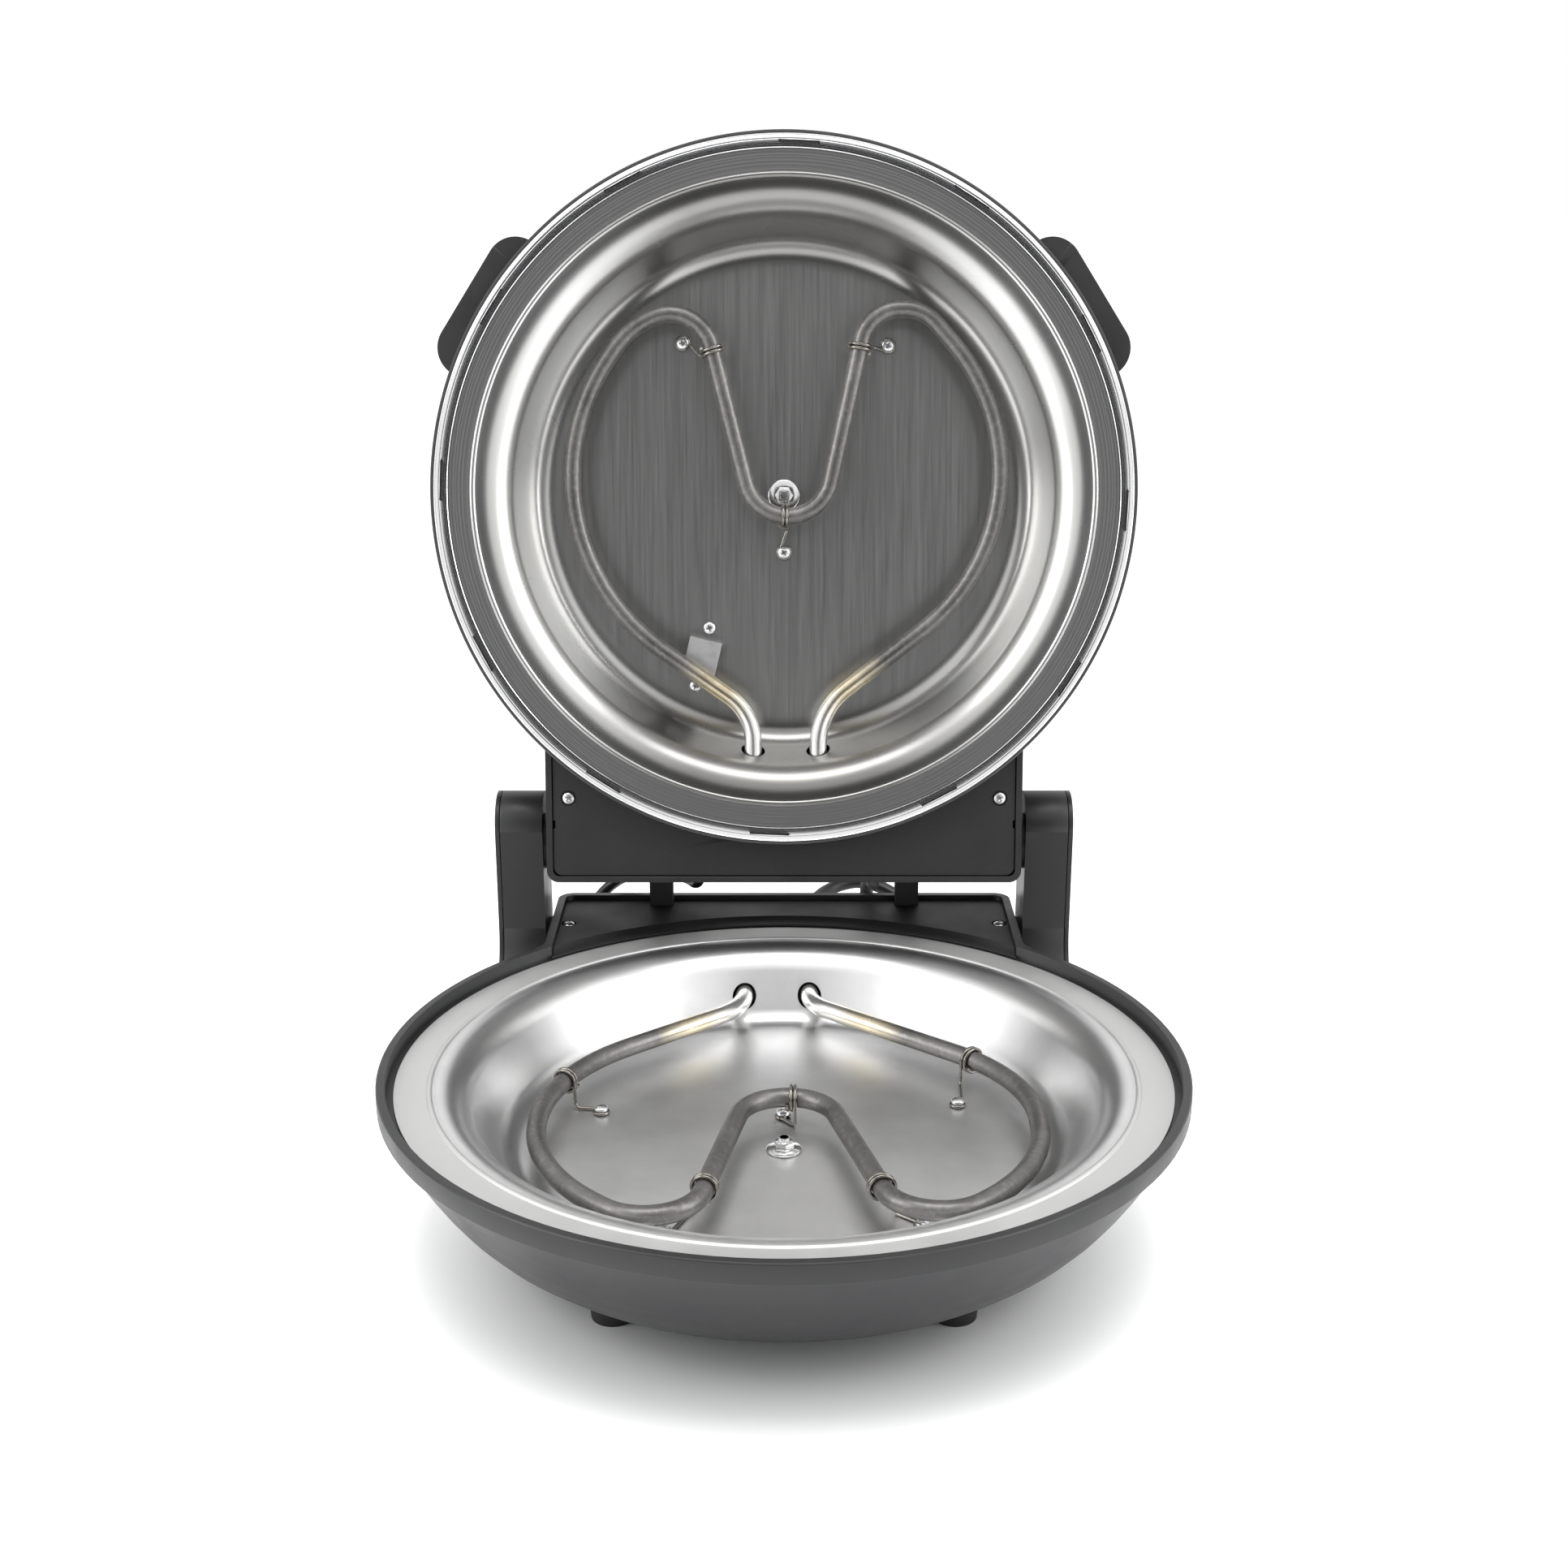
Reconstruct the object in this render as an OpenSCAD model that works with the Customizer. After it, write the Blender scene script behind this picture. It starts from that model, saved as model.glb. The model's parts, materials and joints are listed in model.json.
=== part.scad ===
/* [Base] */
// Outer radius of the rim band
rim_r = 172.5; // [150:0.5:200]
// Wall of the rim band and of the rear box
rim_wall = 3.8; // [3:0.1:5]
// Height of the rim's top edge over the reflector flange
rim_rise = 5.8; // [4:0.1:8]
// Height of the rim band
rim_band_h = 8.4; // [8:0.1:14]
// Height of the lower reflector's flange above the worktop
flange_z = 68; // [64:0.5:90]
// Wall of the lower bowl
bowl_wall = 2.2; // [1.5:0.1:3]
// Radius of the lower bowl's flat bottom
bowl_flat_r = 96; // [85:1:105]
// Half width of the rear box
box_half_w = 117.3; // [112:0.1:120]
// How far the rear box reaches behind the rim
box_behind = 28; // [23.5:0.5:50]
// Depth of the rear box below the flange
box_drop = 48; // [42:1:52]
// Radius of the rear box's upright corners
box_corner_r = 8; // [5:0.5:12]
// Thickness of the rear cover plate
cover_t = 2.5; // [2:0.1:3.5]

/* [Reflectors] */
// Thickness of the pressed sheet, measured upright
sheet_t = 1.2; // [0.8:0.1:1.6]
// Space between the rim's wall and the edge of the lower flange
flange_gap = 3.3; // [2.7:0.1:5.7]
// From the flange's edge to the top of its bead
bead_in = 14.7; // [12.4:0.1:17.4]
// How much smaller the upper reflector's bead is than the lower one's
upper_bead_in = 2.7; // [0:0.1:4]
// Half the width of the bead
bead_half_w = 1.3; // [1:0.1:2.2]
// Height of the bead
bead_h = 0.7; // [0.5:0.1:1.5]
// From the bead to the edge of the flat floor
floor_in = 37.7; // [36:0.1:40.4]
// Depth of the pressing, from flange to floor
dish_depth = 33; // [30:0.5:36]
// Bend radius under the bead
dish_top_bend = 19; // [10:0.5:20]
// Bend radius at the edge of the floor
dish_floor_bend = 12; // [6:0.5:12]

/* [Elements] */
// Outer radius of the heating tube
tube_r = 4.25; // [3.5:0.05:4.5]
// Drop from a reflector's floor to the tube's centre line
tube_off = 12.3; // [11.5:0.1:15]
// Radius of the holes that the tube ends pass through
tube_hole_r = 5.8; // [5.5:0.1:6.5]
// Half the spacing of the tube's two ends
end_half = 16; // [13:0.5:18]
// Sideways shift of the lower element's ends
lower_end_shift = -3.5; // [-5:0.5:5]
// Radius of the clip wire
wire_r = 0.8; // [0.6:0.05:0.9]

/* [Lid] */
// How far the lid's edge stands inside the rim's outside
lid_in = 5.1; // [3:0.1:8]
// Thickness of the dome's sheet
dome_t = 1.2; // [1:0.1:2]
// Height of the lid's edge over the lower flange, lid closed
lid_gap = 2.2; // [1.5:0.1:3]
// Height of the upright part of the lid's edge
lid_edge_h = 7; // [5:0.5:10]
// Radius of the dome's shoulder
shoulder_r = 58; // [54:1:64]
// Angle of the shoulder, where the crown takes over
shoulder_deg = 80; // [76:1:82]
// Height of the upper flange over the lower one, lid closed
lid_flange_up = 5.5; // [5:0.1:7]
// How much narrower the lid's box is than the rear box, each side
lid_box_in = 1.3; // [1.1:0.1:9]
// How far the lid's box reaches behind the hinge when closed
lid_box_behind = 15.1; // [11.5:0.1:15.9]
// Height of the rear box's underside over the lower flange
lid_box_low = 10; // [9.5:0.1:12]
// Height of the rear box's top over the lower flange
lid_box_top = 72; // [66:1:76]
// Wall of the rear box
lid_box_wall = 3; // [2:0.1:4]

/* [Hinge] */
// From the hinge's axis to the back of the rear box
hinge_in = 28; // [27:0.1:29]
// Hinge axis above the lower flange
hinge_up = 44.2; // [43.5:0.1:48]
// Angle at which the open lid rests
open_deg = 99.3; // [90:0.1:99.5]
// Radius of the hinge pins
pin_r = 4; // [3:0.1:5]
// Space between the rear box and each arm
arm_gap = 2.7; // [2.1:0.1:5.7]
// Width of an arm without its cap
arm_w = 21; // [18:0.5:26]
// Depth of an arm, front to back
arm_depth = 32; // [29:0.5:36]
// Height of the centre of the arm's round top over the flange
arm_top_up = 54; // [50:0.5:60]
// Thickness of the arm's end cap
arm_cap_t = 2.1; // [1.5:0.1:4]
// Radius of the boss round the pin
boss_r = 14; // [9:0.5:15]

/* [Fittings] */
// Length of a side handle along the lid's edge
handle_l = 72; // [60:1:90]
// Reach of a handle beyond the lid's edge
handle_out = 9.5; // [8:0.5:18]
// Radius of a handle's outer corners
handle_corner = 14; // [8:0.5:18]
// Height of a handle
handle_h = 26; // [20:0.5:32]
// Radius of the thermostat knob
knob_r = 18; // [14:0.5:21]
// Height of the thermostat knob
knob_h = 16; // [12:0.5:22]
// Radius of a foot
foot_r = 10; // [8:0.5:12]
// Height of a foot
foot_h = 10; // [8:0.5:12]
// Half width of the stance of the front feet
front_foot_x = 68; // [60:1:72]
// Distance of the front feet before the bowl's axis
front_foot_y = 86; // [76:1:88]
// From the rear feet to the side of the rear box
rear_foot_side = 33.3; // [22.3:0.1:57.3]
// From the rear feet to the back of the rear box
rear_foot_in = 28.5; // [18:0.5:34]

/* [Cords] */
// Radius of the mains cord
cord_r = 3.5; // [3:0.1:4]
// Radius of the left link lead
lead_left_r = 3; // [2.5:0.1:3]
// Radius of the right link lead
lead_right_r = 3.5; // [3:0.1:3.5]

/* [Hidden] */
$fn = 64;

// Clearances: running fit at the pins, sliding fit of assembled parts, moulded parts
run_gap = 0.05;
fit_gap = 0.1;
seat_gap = 0.3;

// Derived heights and radii
rim_ir = rim_r - rim_wall;
flange_r = rim_ir - flange_gap;
bead_r = flange_r - bead_in;
floor_r = bead_r - floor_in;
box_rear_y = rim_r + box_behind;
hinge_y = box_rear_y - hinge_in;
rear_foot_y = box_rear_y - rear_foot_in;
rear_foot_x = box_half_w - rear_foot_side;
arm_x = box_half_w + arm_gap;
lid_r = rim_r - lid_in;
lid_flange_r = lid_r - dome_t - fit_gap - 0.7;
lid_box_half_w = box_half_w - lid_box_in;
lid_box_y = hinge_y + lid_box_behind;
cover_front = rim_r - 72.5;
rim_top = flange_z + rim_rise;
band_low = rim_top - rim_band_h;
bowl_low = foot_h;
bowl_top_r = rim_r - 2;
box_low = flange_z - box_drop;
box_inner_y = box_rear_y - rim_wall;
box_inner_x = box_half_w - rim_wall;
lower_floor = flange_z - dish_depth;
lower_tube_z = lower_floor + tube_off;
upper_flange = flange_z + lid_flange_up;
upper_floor = upper_flange + dish_depth;
upper_tube_z = upper_floor - tube_off;
lid_edge_z = flange_z + lid_gap;
hinge_z = flange_z + hinge_up;
shoulder_z = lid_edge_z + lid_edge_h;
shoulder_c = lid_r - shoulder_r;
crown_d = shoulder_c / cos(shoulder_deg);
crown_r = crown_d + shoulder_r;
crown_z = shoulder_z - crown_d * sin(shoulder_deg);
dome_top = crown_z + crown_r;
cover_top = rim_top - 2.6;
panel_z = flange_z + lid_box_low + 0.8;
panel_t = 2;
arm_cap_x = arm_x + arm_w + 0.4;

// Positions of the small fittings
// Share of the outlines' own floor, which has a radius of 113
floor_k = floor_r / 113;
lower_screws = floor_k * [[-81.3, 22.2], [77.9, 29.5], [-47.4, -84.8], [55.1, -79.7], [-0.4, 18.2]];
upper_screws = floor_k * [[-49.2, -73.1], [50.4, -71.9], [0, 27.9]];
base_bolt_y = -13;
thermostat_at = floor_k * [-40.4, 79.4];
lamp_at = floor_k * [-6, 92];
cover_screw_at = [box_half_w - 8.3, hinge_y - 9.5];
panel_screw_at = [lid_box_half_w - 11, hinge_y - 26.5];
handle_deg = 32.4;
handle_screw_y = 20;
rest_x = 63.5;
rest_w = 12;
rest_front = box_inner_y - 8;
arm_screw_y = hinge_y + 5.5;
arm_screw_z = [flange_z - 14, flange_z - 36];
screw_r = 1.9;
head_r = 3;

// Corners of each element as [x, y, bend radius], from the left end round to the right one.
// Each loop is bent by hand, so the two halves differ by a few millimetres.
upper_end_shift = 0.8;
upper_bends = [
    [-15.2, 106.1, 27.3], [-144.5, 15.5, 101.2], [-74.1, -79.4, 38], [-40.8, -94.3, 20.5],
    [3.5, 81.2, 21.1],
    [40.5, -88.6, 19], [67.2, -88.4, 20.9], [148.4, 2.8, 95.3], [16.8, 104.8, 35],
];
lower_bends = [
    [-19.5, 111.2, 33.9], [-107.8, 34.8, 98.8], [-103.4, -57.3, 98], [-39.9, -111.7, 22.8],
    [-2, 90.4, 21.6],
    [49.5, -107.6, 23.2], [107.9, -53.9, 92.1], [110.4, 31.7, 83.3], [12.5, 115.6, 24.5],
];

// Heating-tube outline: ends behind the wall, first bends, both loops and the middle dip
function element_path(bends, end_y, shift) = let (n = len(bends) - 1) concat(
    [[-end_half + shift, end_y, 0]],
    [[-end_half + shift, bends[0][1] * floor_k, bends[0][2] * floor_k]],
    [for (i = [1 : n - 1]) floor_k * bends[i]],
    [[end_half + shift, bends[n][1] * floor_k, bends[n][2] * floor_k]],
    [[end_half + shift, end_y, 0]]
);
upper_end_y = lid_r - 15.4;
lower_end_y = rim_r - 6.5;
upper_path = element_path(upper_bends, upper_end_y, upper_end_shift);
lower_path = element_path(lower_bends, lower_end_y, lower_end_shift);

// Geometry of corner i of an outline: start, end, centre, start angle and turn
function unit(v) = v / norm(v);
function flat(p) = [p[0], p[1]];
function corner(path, i) =
    let (p = flat(path[i]), u = unit(flat(path[i - 1]) - p), v = unit(flat(path[i + 1]) - p),
         half = acos(u * v) / 2, d = path[i][2] / tan(half),
         c = p + unit(u + v) * path[i][2] / sin(half),
         s = p + u * d - c, e = p + v * d - c,
         turn = atan2(s[0] * e[1] - s[1] * e[0], s * e))
    [p + u * d, p + v * d, c, atan2(s[1], s[0]), turn];
function straight_start(path, i) = i == 0 ? flat(path[0]) : corner(path, i)[1];
function straight_end(path, i) =
    i == len(path) - 2 ? flat(path[i + 1]) : corner(path, i + 1)[0];

// Place and heading at a share of straight i, or of bend i
function on_straight(path, i, f) =
    let (a = straight_start(path, i), b = straight_end(path, i))
    [a + (b - a) * f, atan2(b[1] - a[1], b[0] - a[0])];
function on_bend(path, i, f) =
    let (c = corner(path, i), a = c[3] + c[4] * f)
    [c[2] + path[i][2] * [cos(a), sin(a)], a + 90 * sign(c[4])];

// Where the wire clips hold each tube
lower_holds = [
    on_bend(lower_path, 2, 0.5), on_bend(lower_path, 8, 0.89),
    on_straight(lower_path, 4, 0.06), on_straight(lower_path, 5, 0.96),
    on_bend(lower_path, 5, 0.55),
];
upper_holds = [
    on_straight(upper_path, 4, 0.02), on_straight(upper_path, 5, 0.95),
    on_bend(upper_path, 5, 0.46),
];

// Points of a circular arc in a profile
function arc(c, r, a0, a1, n) =
    [for (i = [0 : n]) c + r * [cos(a0 + (a1 - a0) * i / n), sin(a0 + (a1 - a0) * i / n)]];
function lifted(points, dz) = [for (p = points) p + [0, dz]];
function reversed(points) = [for (i = [len(points) - 1 : -1 : 0]) points[i]];

// Upper line of a dish pressing, from the flange's edge to the axis, flange at zero
dish_bends = dish_top_bend + dish_floor_bend;
function dish_line(edge_r, bead) = let (
    w = bead - bead_half_w - floor_r,
    deg = atan2(dish_depth - dish_bends, w) + asin(dish_bends / norm([w, dish_depth - dish_bends]))
) concat(
    [[edge_r, 0], [bead + bead_half_w, 0]],
    [for (k = [0.5, 0, -0.5]) [bead + k * bead_half_w, bead_h * (1 - k * k)]],
    arc([bead - bead_half_w, -dish_top_bend], dish_top_bend, 90, 90 + deg, 8),
    arc([floor_r, dish_floor_bend - dish_depth], dish_floor_bend, 270 + deg, 270, 6),
    [[0, -dish_depth]]
);

// Outer line of the lower bowl, from its top edge to the axis
bowl_h = band_low - 0.2 - bowl_low;
function bowl_point(u) = [
    bowl_flat_r + (bowl_top_r - bowl_flat_r) * pow(cos(u), 0.66),
    bowl_low + bowl_h * (1 - pow(sin(u), 2.26))
];
bowl_line = concat([for (i = [0 : 11]) bowl_point(i * 90 / 12)],
    [[bowl_flat_r, bowl_low], [0, bowl_low]]);

// Dome outline, from the edge up to the crown
function dome_line(inset) = concat(
    [[lid_r - inset, lid_edge_z]],
    arc([shoulder_c, shoulder_z], shoulder_r - inset, 0, shoulder_deg, 10),
    [for (i = [1 : 4]) let (a = shoulder_deg + (90 - shoulder_deg) * i / 4)
        [(crown_r - inset) * cos(a), crown_z + (crown_r - inset) * sin(a)]]
);
function dome_z(r) = crown_z + sqrt(pow(crown_r, 2) - pow(r, 2));

// Middle of the footprint, from the rim's front to the rear of the open dome
open_rear = max([for (p = dome_line(0))
    hinge_y - (p[0] + hinge_y) * cos(open_deg) + (p[1] - hinge_z) * sin(open_deg)]);
frame_y = (open_rear - rim_r) / 2;

// Ring of points round a path point, and a closed tube along a path
function frames(t, i, n) = i >= len(t) ? []
    : let (m = unit(n - (n * t[i]) * t[i])) concat([m], frames(t, i + 1, m));
module sweep(path, r, sides, side) {
    last = len(path) - 1;
    t = [for (i = [0 : last]) unit(path[min(i + 1, last)] - path[max(i - 1, 0)])];
    n = frames(t, 0, side);
    ring = [for (i = [0 : last]) let (b = cross(t[i], n[i])) for (k = [0 : sides - 1])
        path[i] + r * (cos(360 * k / sides) * n[i] + sin(360 * k / sides) * b)];
    skin = [for (i = [0 : last - 1], k = [0 : sides - 1])
        let (a = i * sides + k, b = i * sides + (k + 1) % sides)
        [a, a + sides, b + sides, b]];
    caps = [[for (k = [0 : sides - 1]) k],
        [for (k = [sides - 1 : -1 : 0]) last * sides + k]];
    polyhedron(ring, concat(skin, caps), convexity = 8);
}

// Smooth route through hand-placed points, m steps between neighbours
function spline(p, m) = concat([for (i = [0 : len(p) - 2], j = [0 : m - 1])
    let (u = j / m, a = p[max(i - 1, 0)], b = p[i], c = p[i + 1], d = p[min(i + 2, len(p) - 1)])
    0.5 * (2 * b + (c - a) * u + (2 * a - 5 * b + 4 * c - d) * u * u
        + (3 * b - a - 3 * c + d) * u * u * u)], [p[len(p) - 1]]);

// Routes of the cords, round numbers chosen by hand, bowl axis at zero
mains_points = [
    [16, 212, 60], [16, 218, 60], [17, 225, 60], [20, 232, 61], [25, 238, 62], [32, 243, 63],
    [41, 247, 63], [51, 249, 60], [61, 251, 54], [71, 253, 45], [81, 256, 34], [91, 259, 23],
    [100, 264, 14], [107, 274, 6], [110, 285, 4], [111, 296, 4],
];
leads_shift = [0, box_rear_y - 200.5, 0];
lead_left_points = [for (p = [
    [-100, 206, 62], [-100, 211, 62], [-98, 216, 66], [-92, 217, 72], [-84, 214, 78],
    [-75, 209, 82], [-66, 205, 84], [-57, 202, 84], [-50, 197, 83], [-46, 191, 83],
    [-44, 186, 86], [-44, 184, 90], [-44, 184.3, 93.7],
]) p + leads_shift];
lead_right_points = [for (p = [
    [44, 206, 60], [44, 211, 60], [44, 216, 63], [44, 218, 70], [45, 214, 78], [45, 206, 83],
    [46, 197, 83], [46, 190, 83], [46, 185.5, 86], [46, 184, 90], [46, 184.3, 93.7],
]) p + leads_shift];
coil_at = [60, 296];
coil_mid_r = 40;
coil_turn_w = 14;
coil_h = 14;
plug_half_w = 13;
plug_l = 30;
plug_h = 12;

module open_lid() {
    translate([0, hinge_y, hinge_z]) rotate([-open_deg, 0, 0])
        translate([0, -hinge_y, -hinge_z]) children();
}

module both_sides() {
    children();
    mirror([1, 0, 0]) children();
}

// Pan head with a cross recess, seat at zero, shank below
module pan_screw(r, length, head) {
    translate([0, 0, -length]) cylinder(r = r, h = length + 0.2);
    difference() {
        union() {
            cylinder(r = head, h = head * 0.45);
            translate([0, 0, head * 0.45]) cylinder(r1 = head, r2 = head * 0.6, h = head * 0.3);
        }
        for (a = [0, 90]) rotate([0, 0, a])
            translate([-head * 0.55, -head * 0.12, head * 0.4])
                cube([head * 1.1, head * 0.24, head]);
    }
}

// Round tube along a flat outline with bent corners, a ring of points every few degrees
bend_step = 9;
function bent_points(path) = concat([[path[0][0], path[0][1], 0]],
    [for (i = [1 : len(path) - 2])
        let (c = corner(path, i), n = ceil(abs(c[4]) / bend_step))
        for (k = [0 : n]) let (a = c[3] + c[4] * k / n)
            [c[2][0] + path[i][2] * cos(a), c[2][1] + path[i][2] * sin(a), 0]],
    [[path[len(path) - 1][0], path[len(path) - 1][1], 0]]);
module bent_tube(path, r) {
    sweep(bent_points(path), r, 12, [0, 0, 1]);
}

// Wire clip: two turns round the tube, a leg to the floor and an eye round the screw.
// The floor lies below the tube here. The leg goes down beside the screw, or across from it.
module wire_clip(hold, screw, drop, across_tube = false) {
    p = hold[0];
    u = [cos(hold[1]), sin(hold[1]), 0];
    to = unit(screw - p);
    w = cross(u, [0, 0, 1]);
    side = (w * [to[0], to[1], 0] >= 0) != across_tube ? w : -w;
    r = tube_r + wire_r + fit_gap;
    eye_r = screw_r + wire_r + 0.3;
    low = -drop + wire_r + fit_gap;
    start = [p[0], p[1], 0];
    turns = 14;
    coil = [for (i = [0 : 2 * turns]) let (a = 360 * i / turns)
        start + u * (i / turns - 1) * 2 * (wire_r + 0.1) + r * (cos(a) * side - sin(a) * [0, 0, 1])];
    foot = coil[2 * turns];
    eye = [screw[0], screw[1], low];
    back = unit([foot[0], foot[1], low] - eye);
    across = cross([0, 0, 1], back);
    loop = [for (i = [0 : 10]) let (a = 35 + 300 * i / 10)
        eye + eye_r * (cos(a) * back + sin(a) * across)];
    leg = [foot - [0, 0, 2], [foot[0], foot[1], low + 2.4],
        [foot[0], foot[1], low] - back * 0.8 + [0, 0, 0.7],
        [foot[0], foot[1], low] - back * 2.2];
    run = norm(loop[0] - leg[3]) > 2 ? [leg[3] + (loop[0] - leg[3]) * 0.5] : [];
    sweep(concat(coil, leg, run, loop), wire_r, 6, u);
}

// Pressed dish with its flange at zero height, open upwards
module dish(edge_r, bead) {
    line = dish_line(edge_r, bead);
    rotate_extrude() polygon(concat(line, reversed(lifted(line, -sheet_t))));
}

module dish_holes(shift, spots, bolt_y) {
    for (x = [-end_half + shift, end_half + shift])
        translate([x, floor_r - 8, -dish_depth + tube_off]) rotate([-90, 0, 0])
            cylinder(r = tube_hole_r, h = bead_r - floor_r + 6);
    for (s = spots) translate([s[0], s[1], -dish_depth - 3]) cylinder(r = screw_r + 0.1, h = 6);
    translate([0, bolt_y, -dish_depth - 3]) cylinder(r = 2.6, h = 6);
}

// Solid of the bowl's outside, grown by a gap, up to the rim
module bowl_solid(gap) {
    rotate_extrude() polygon(concat([[0, rim_top + 1], [bowl_top_r + gap, rim_top + 1]],
        [for (p = bowl_line) [p[0] > 0 ? p[0] + gap : 0, p[1] - gap]]));
}

// Plan of the rear box, with the hollow fillets where its sides meet the rim
module box_plan(half_w, rear, corner_r) {
    translate([-half_w, 0]) square([2 * half_w, rear - corner_r]);
    translate([-half_w + corner_r, 0]) square([2 * (half_w - corner_r), rear]);
    for (s = [-1, 1]) translate([s * (half_w - corner_r), rear - corner_r]) circle(r = corner_r);
}

fillet_r = 12;
fillet_y = sqrt(pow(rim_r + fillet_r, 2) - pow(box_half_w + fillet_r, 2));
module rim_fillet() {
    c = [box_half_w + fillet_r, fillet_y];
    end = c * (rim_r / (rim_r + fillet_r));
    polygon(concat(arc(c, fillet_r, 180, 180 + atan2(c[1] - end[1], c[0] - end[0]), 5),
        [end - [2, 2], [box_half_w - 2, end[1] + 3], [box_half_w - 2, fillet_y]]));
}

module base_rim() {
    color("#3f3f40") difference() {
        union() {
            rotate_extrude() polygon([
                [rim_r - 0.6, rim_top], [rim_r, rim_top - 0.6], [rim_r, band_low],
                [rim_ir - 6, band_low], [rim_ir - 6, band_low - 7],
                [rim_ir - 8, band_low - 7], [rim_ir - 8, flange_z - sheet_t - 3],
                [rim_ir - 10, flange_z - sheet_t - 3], [rim_ir - 10, flange_z - sheet_t - fit_gap],
                [rim_ir, flange_z - sheet_t - fit_gap], [rim_ir, rim_top]
            ]);
            difference() {
                translate([0, 0, box_low]) linear_extrude(rim_top - box_low) difference() {
                    box_plan(box_half_w, box_rear_y, box_corner_r);
                    box_plan(box_inner_x, box_inner_y, box_corner_r - rim_wall);
                }
                bowl_solid(0.2);
                translate([0, 0, rim_top - 30]) cylinder(r = rim_r - 1, h = 40);
            }
            translate([0, 0, band_low]) linear_extrude(rim_band_h) both_sides() rim_fillet();
            // Bosses for the cover and floor screws
            for (s = [-1, 1]) translate([s * cover_screw_at[0], cover_screw_at[1], box_low + 3.2])
                cylinder(r = 5, h = cover_top - cover_t - box_low - 3.3);
        }
        // Room for the rear cover and the wiring behind the flange
        translate([0, 0, flange_z + 0.1]) linear_extrude(rim_rise + 1) intersection() {
            box_plan(box_inner_x, box_inner_y, box_corner_r - rim_wall);
            translate([-box_half_w, cover_front]) square([2 * box_half_w, 120]);
        }
        for (s = [-1, 1]) translate([s * cover_screw_at[0], cover_screw_at[1], box_low])
            cylinder(r = screw_r - 0.1, h = cover_top);
        translate([mains_points[0][0], box_rear_y - 8, mains_points[0][2]])
            rotate([-90, 0, 0]) cylinder(r = 7.5, h = 12);
        for (p = [lead_left_points[0], lead_right_points[0]])
            translate([p[0], box_rear_y - 8, p[2]]) rotate([-90, 0, 0]) cylinder(r = 5.5, h = 12);
        for (s = [-1, 1], z = arm_screw_z) translate([s * (box_inner_x - 2), arm_screw_y, z])
            rotate([0, s * 90, 0]) cylinder(r = 2.1, h = 10);
    }
}

module base_bowl() {
    inner = [for (p = bowl_line) [max(p[0] - bowl_wall, 0), p[1] + bowl_wall * 0.9]];
    color("#47474a") difference() {
        rotate_extrude() polygon(concat(bowl_line,
            reversed([for (p = inner) if (p[1] < bowl_line[0][1] - 0.3) p]),
            [[bowl_top_r - bowl_wall, bowl_line[0][1]]]));
        // Window for the tube ends and wiring
        translate([-46, bowl_top_r - 40.5, flange_z - 40]) cube([92, 60, 31]);
        for (s = [-1, 1]) translate([s * front_foot_x, -front_foot_y, bowl_low - 3])
            cylinder(r = screw_r, h = 20);
        translate([0, base_bolt_y, bowl_low - 3]) cylinder(r = 2.6, h = 10);
    }
}

module box_floor() {
    color("#3a3a3c") difference() {
        union() {
            translate([0, 0, box_low]) linear_extrude(3) difference() {
                box_plan(box_inner_x - 0.2, box_inner_y - 0.2, box_corner_r - rim_wall);
                translate([-box_half_w, 0]) square([2 * box_half_w, 60]);
            }
            for (s = [-1, 1]) translate([s * rear_foot_x, rear_foot_y, bowl_low])
                cylinder(r1 = foot_r + 2, r2 = foot_r + 5, h = box_low - bowl_low + 1);
        }
        bowl_solid(0.3);
        for (s = [-1, 1]) {
            translate([s * rear_foot_x, rear_foot_y, bowl_low - 2]) cylinder(r = screw_r, h = 40);
            translate([s * cover_screw_at[0], cover_screw_at[1], box_low - 2])
                cylinder(r = screw_r, h = 10);
        }
    }
}

module box_floor_screws() {
    color("silver") for (s = [-1, 1])
        translate([s * cover_screw_at[0], cover_screw_at[1], box_low - 0.1])
            rotate([180, 0, 0]) pan_screw(screw_r - 0.15, 12, head_r);
}

module cover_plan() {
    difference() {
        box_plan(box_inner_x - seat_gap, box_inner_y - seat_gap, box_corner_r - rim_wall);
        translate([-rim_r, -1]) square([2 * rim_r, cover_front + 1]);
    }
}

// Front lip of the rear cover: rises from the flange in a hollow curve
lip_r = rim_ir - 2;
lip_bend = 12;
lip_low = flange_z + 0.9;
lip_deg = acos(1 - (cover_top - lip_low) / lip_bend);
lip_end = lip_r + lip_bend * sin(lip_deg);
module base_rear_cover() {
    color("#1c1c1e") difference() {
        union() {
            translate([0, 0, cover_top - cover_t]) linear_extrude(cover_t) difference() {
                cover_plan();
                circle(r = lip_end + 0.3);
            }
            intersection() {
                translate([0, 0, flange_z]) linear_extrude(10) cover_plan();
                rotate_extrude() polygon(concat([[lip_r, flange_z + 0.3]],
                    arc([lip_r, lip_low + lip_bend], lip_bend, 270, 270 + lip_deg, 4),
                    [[lip_end + 1, cover_top], [lip_end + 1, cover_top - cover_t],
                        [lip_end - 2, flange_z + 0.3]]));
            }
        }
        for (s = [-1, 1])
            translate([s * cover_screw_at[0], cover_screw_at[1], cover_top - cover_t - 1]) {
                cylinder(r = screw_r + 0.2, h = 20);
                translate([0, 0, cover_t - 0.4]) cylinder(r = head_r + 0.8, h = 4);
            }
        for (s = [-1, 1]) translate([s * rest_x - rest_w / 2 - 0.2, rest_front - 0.2, flange_z - 10])
            cube([rest_w + 0.4, 20, 30]);
    }
}

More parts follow.
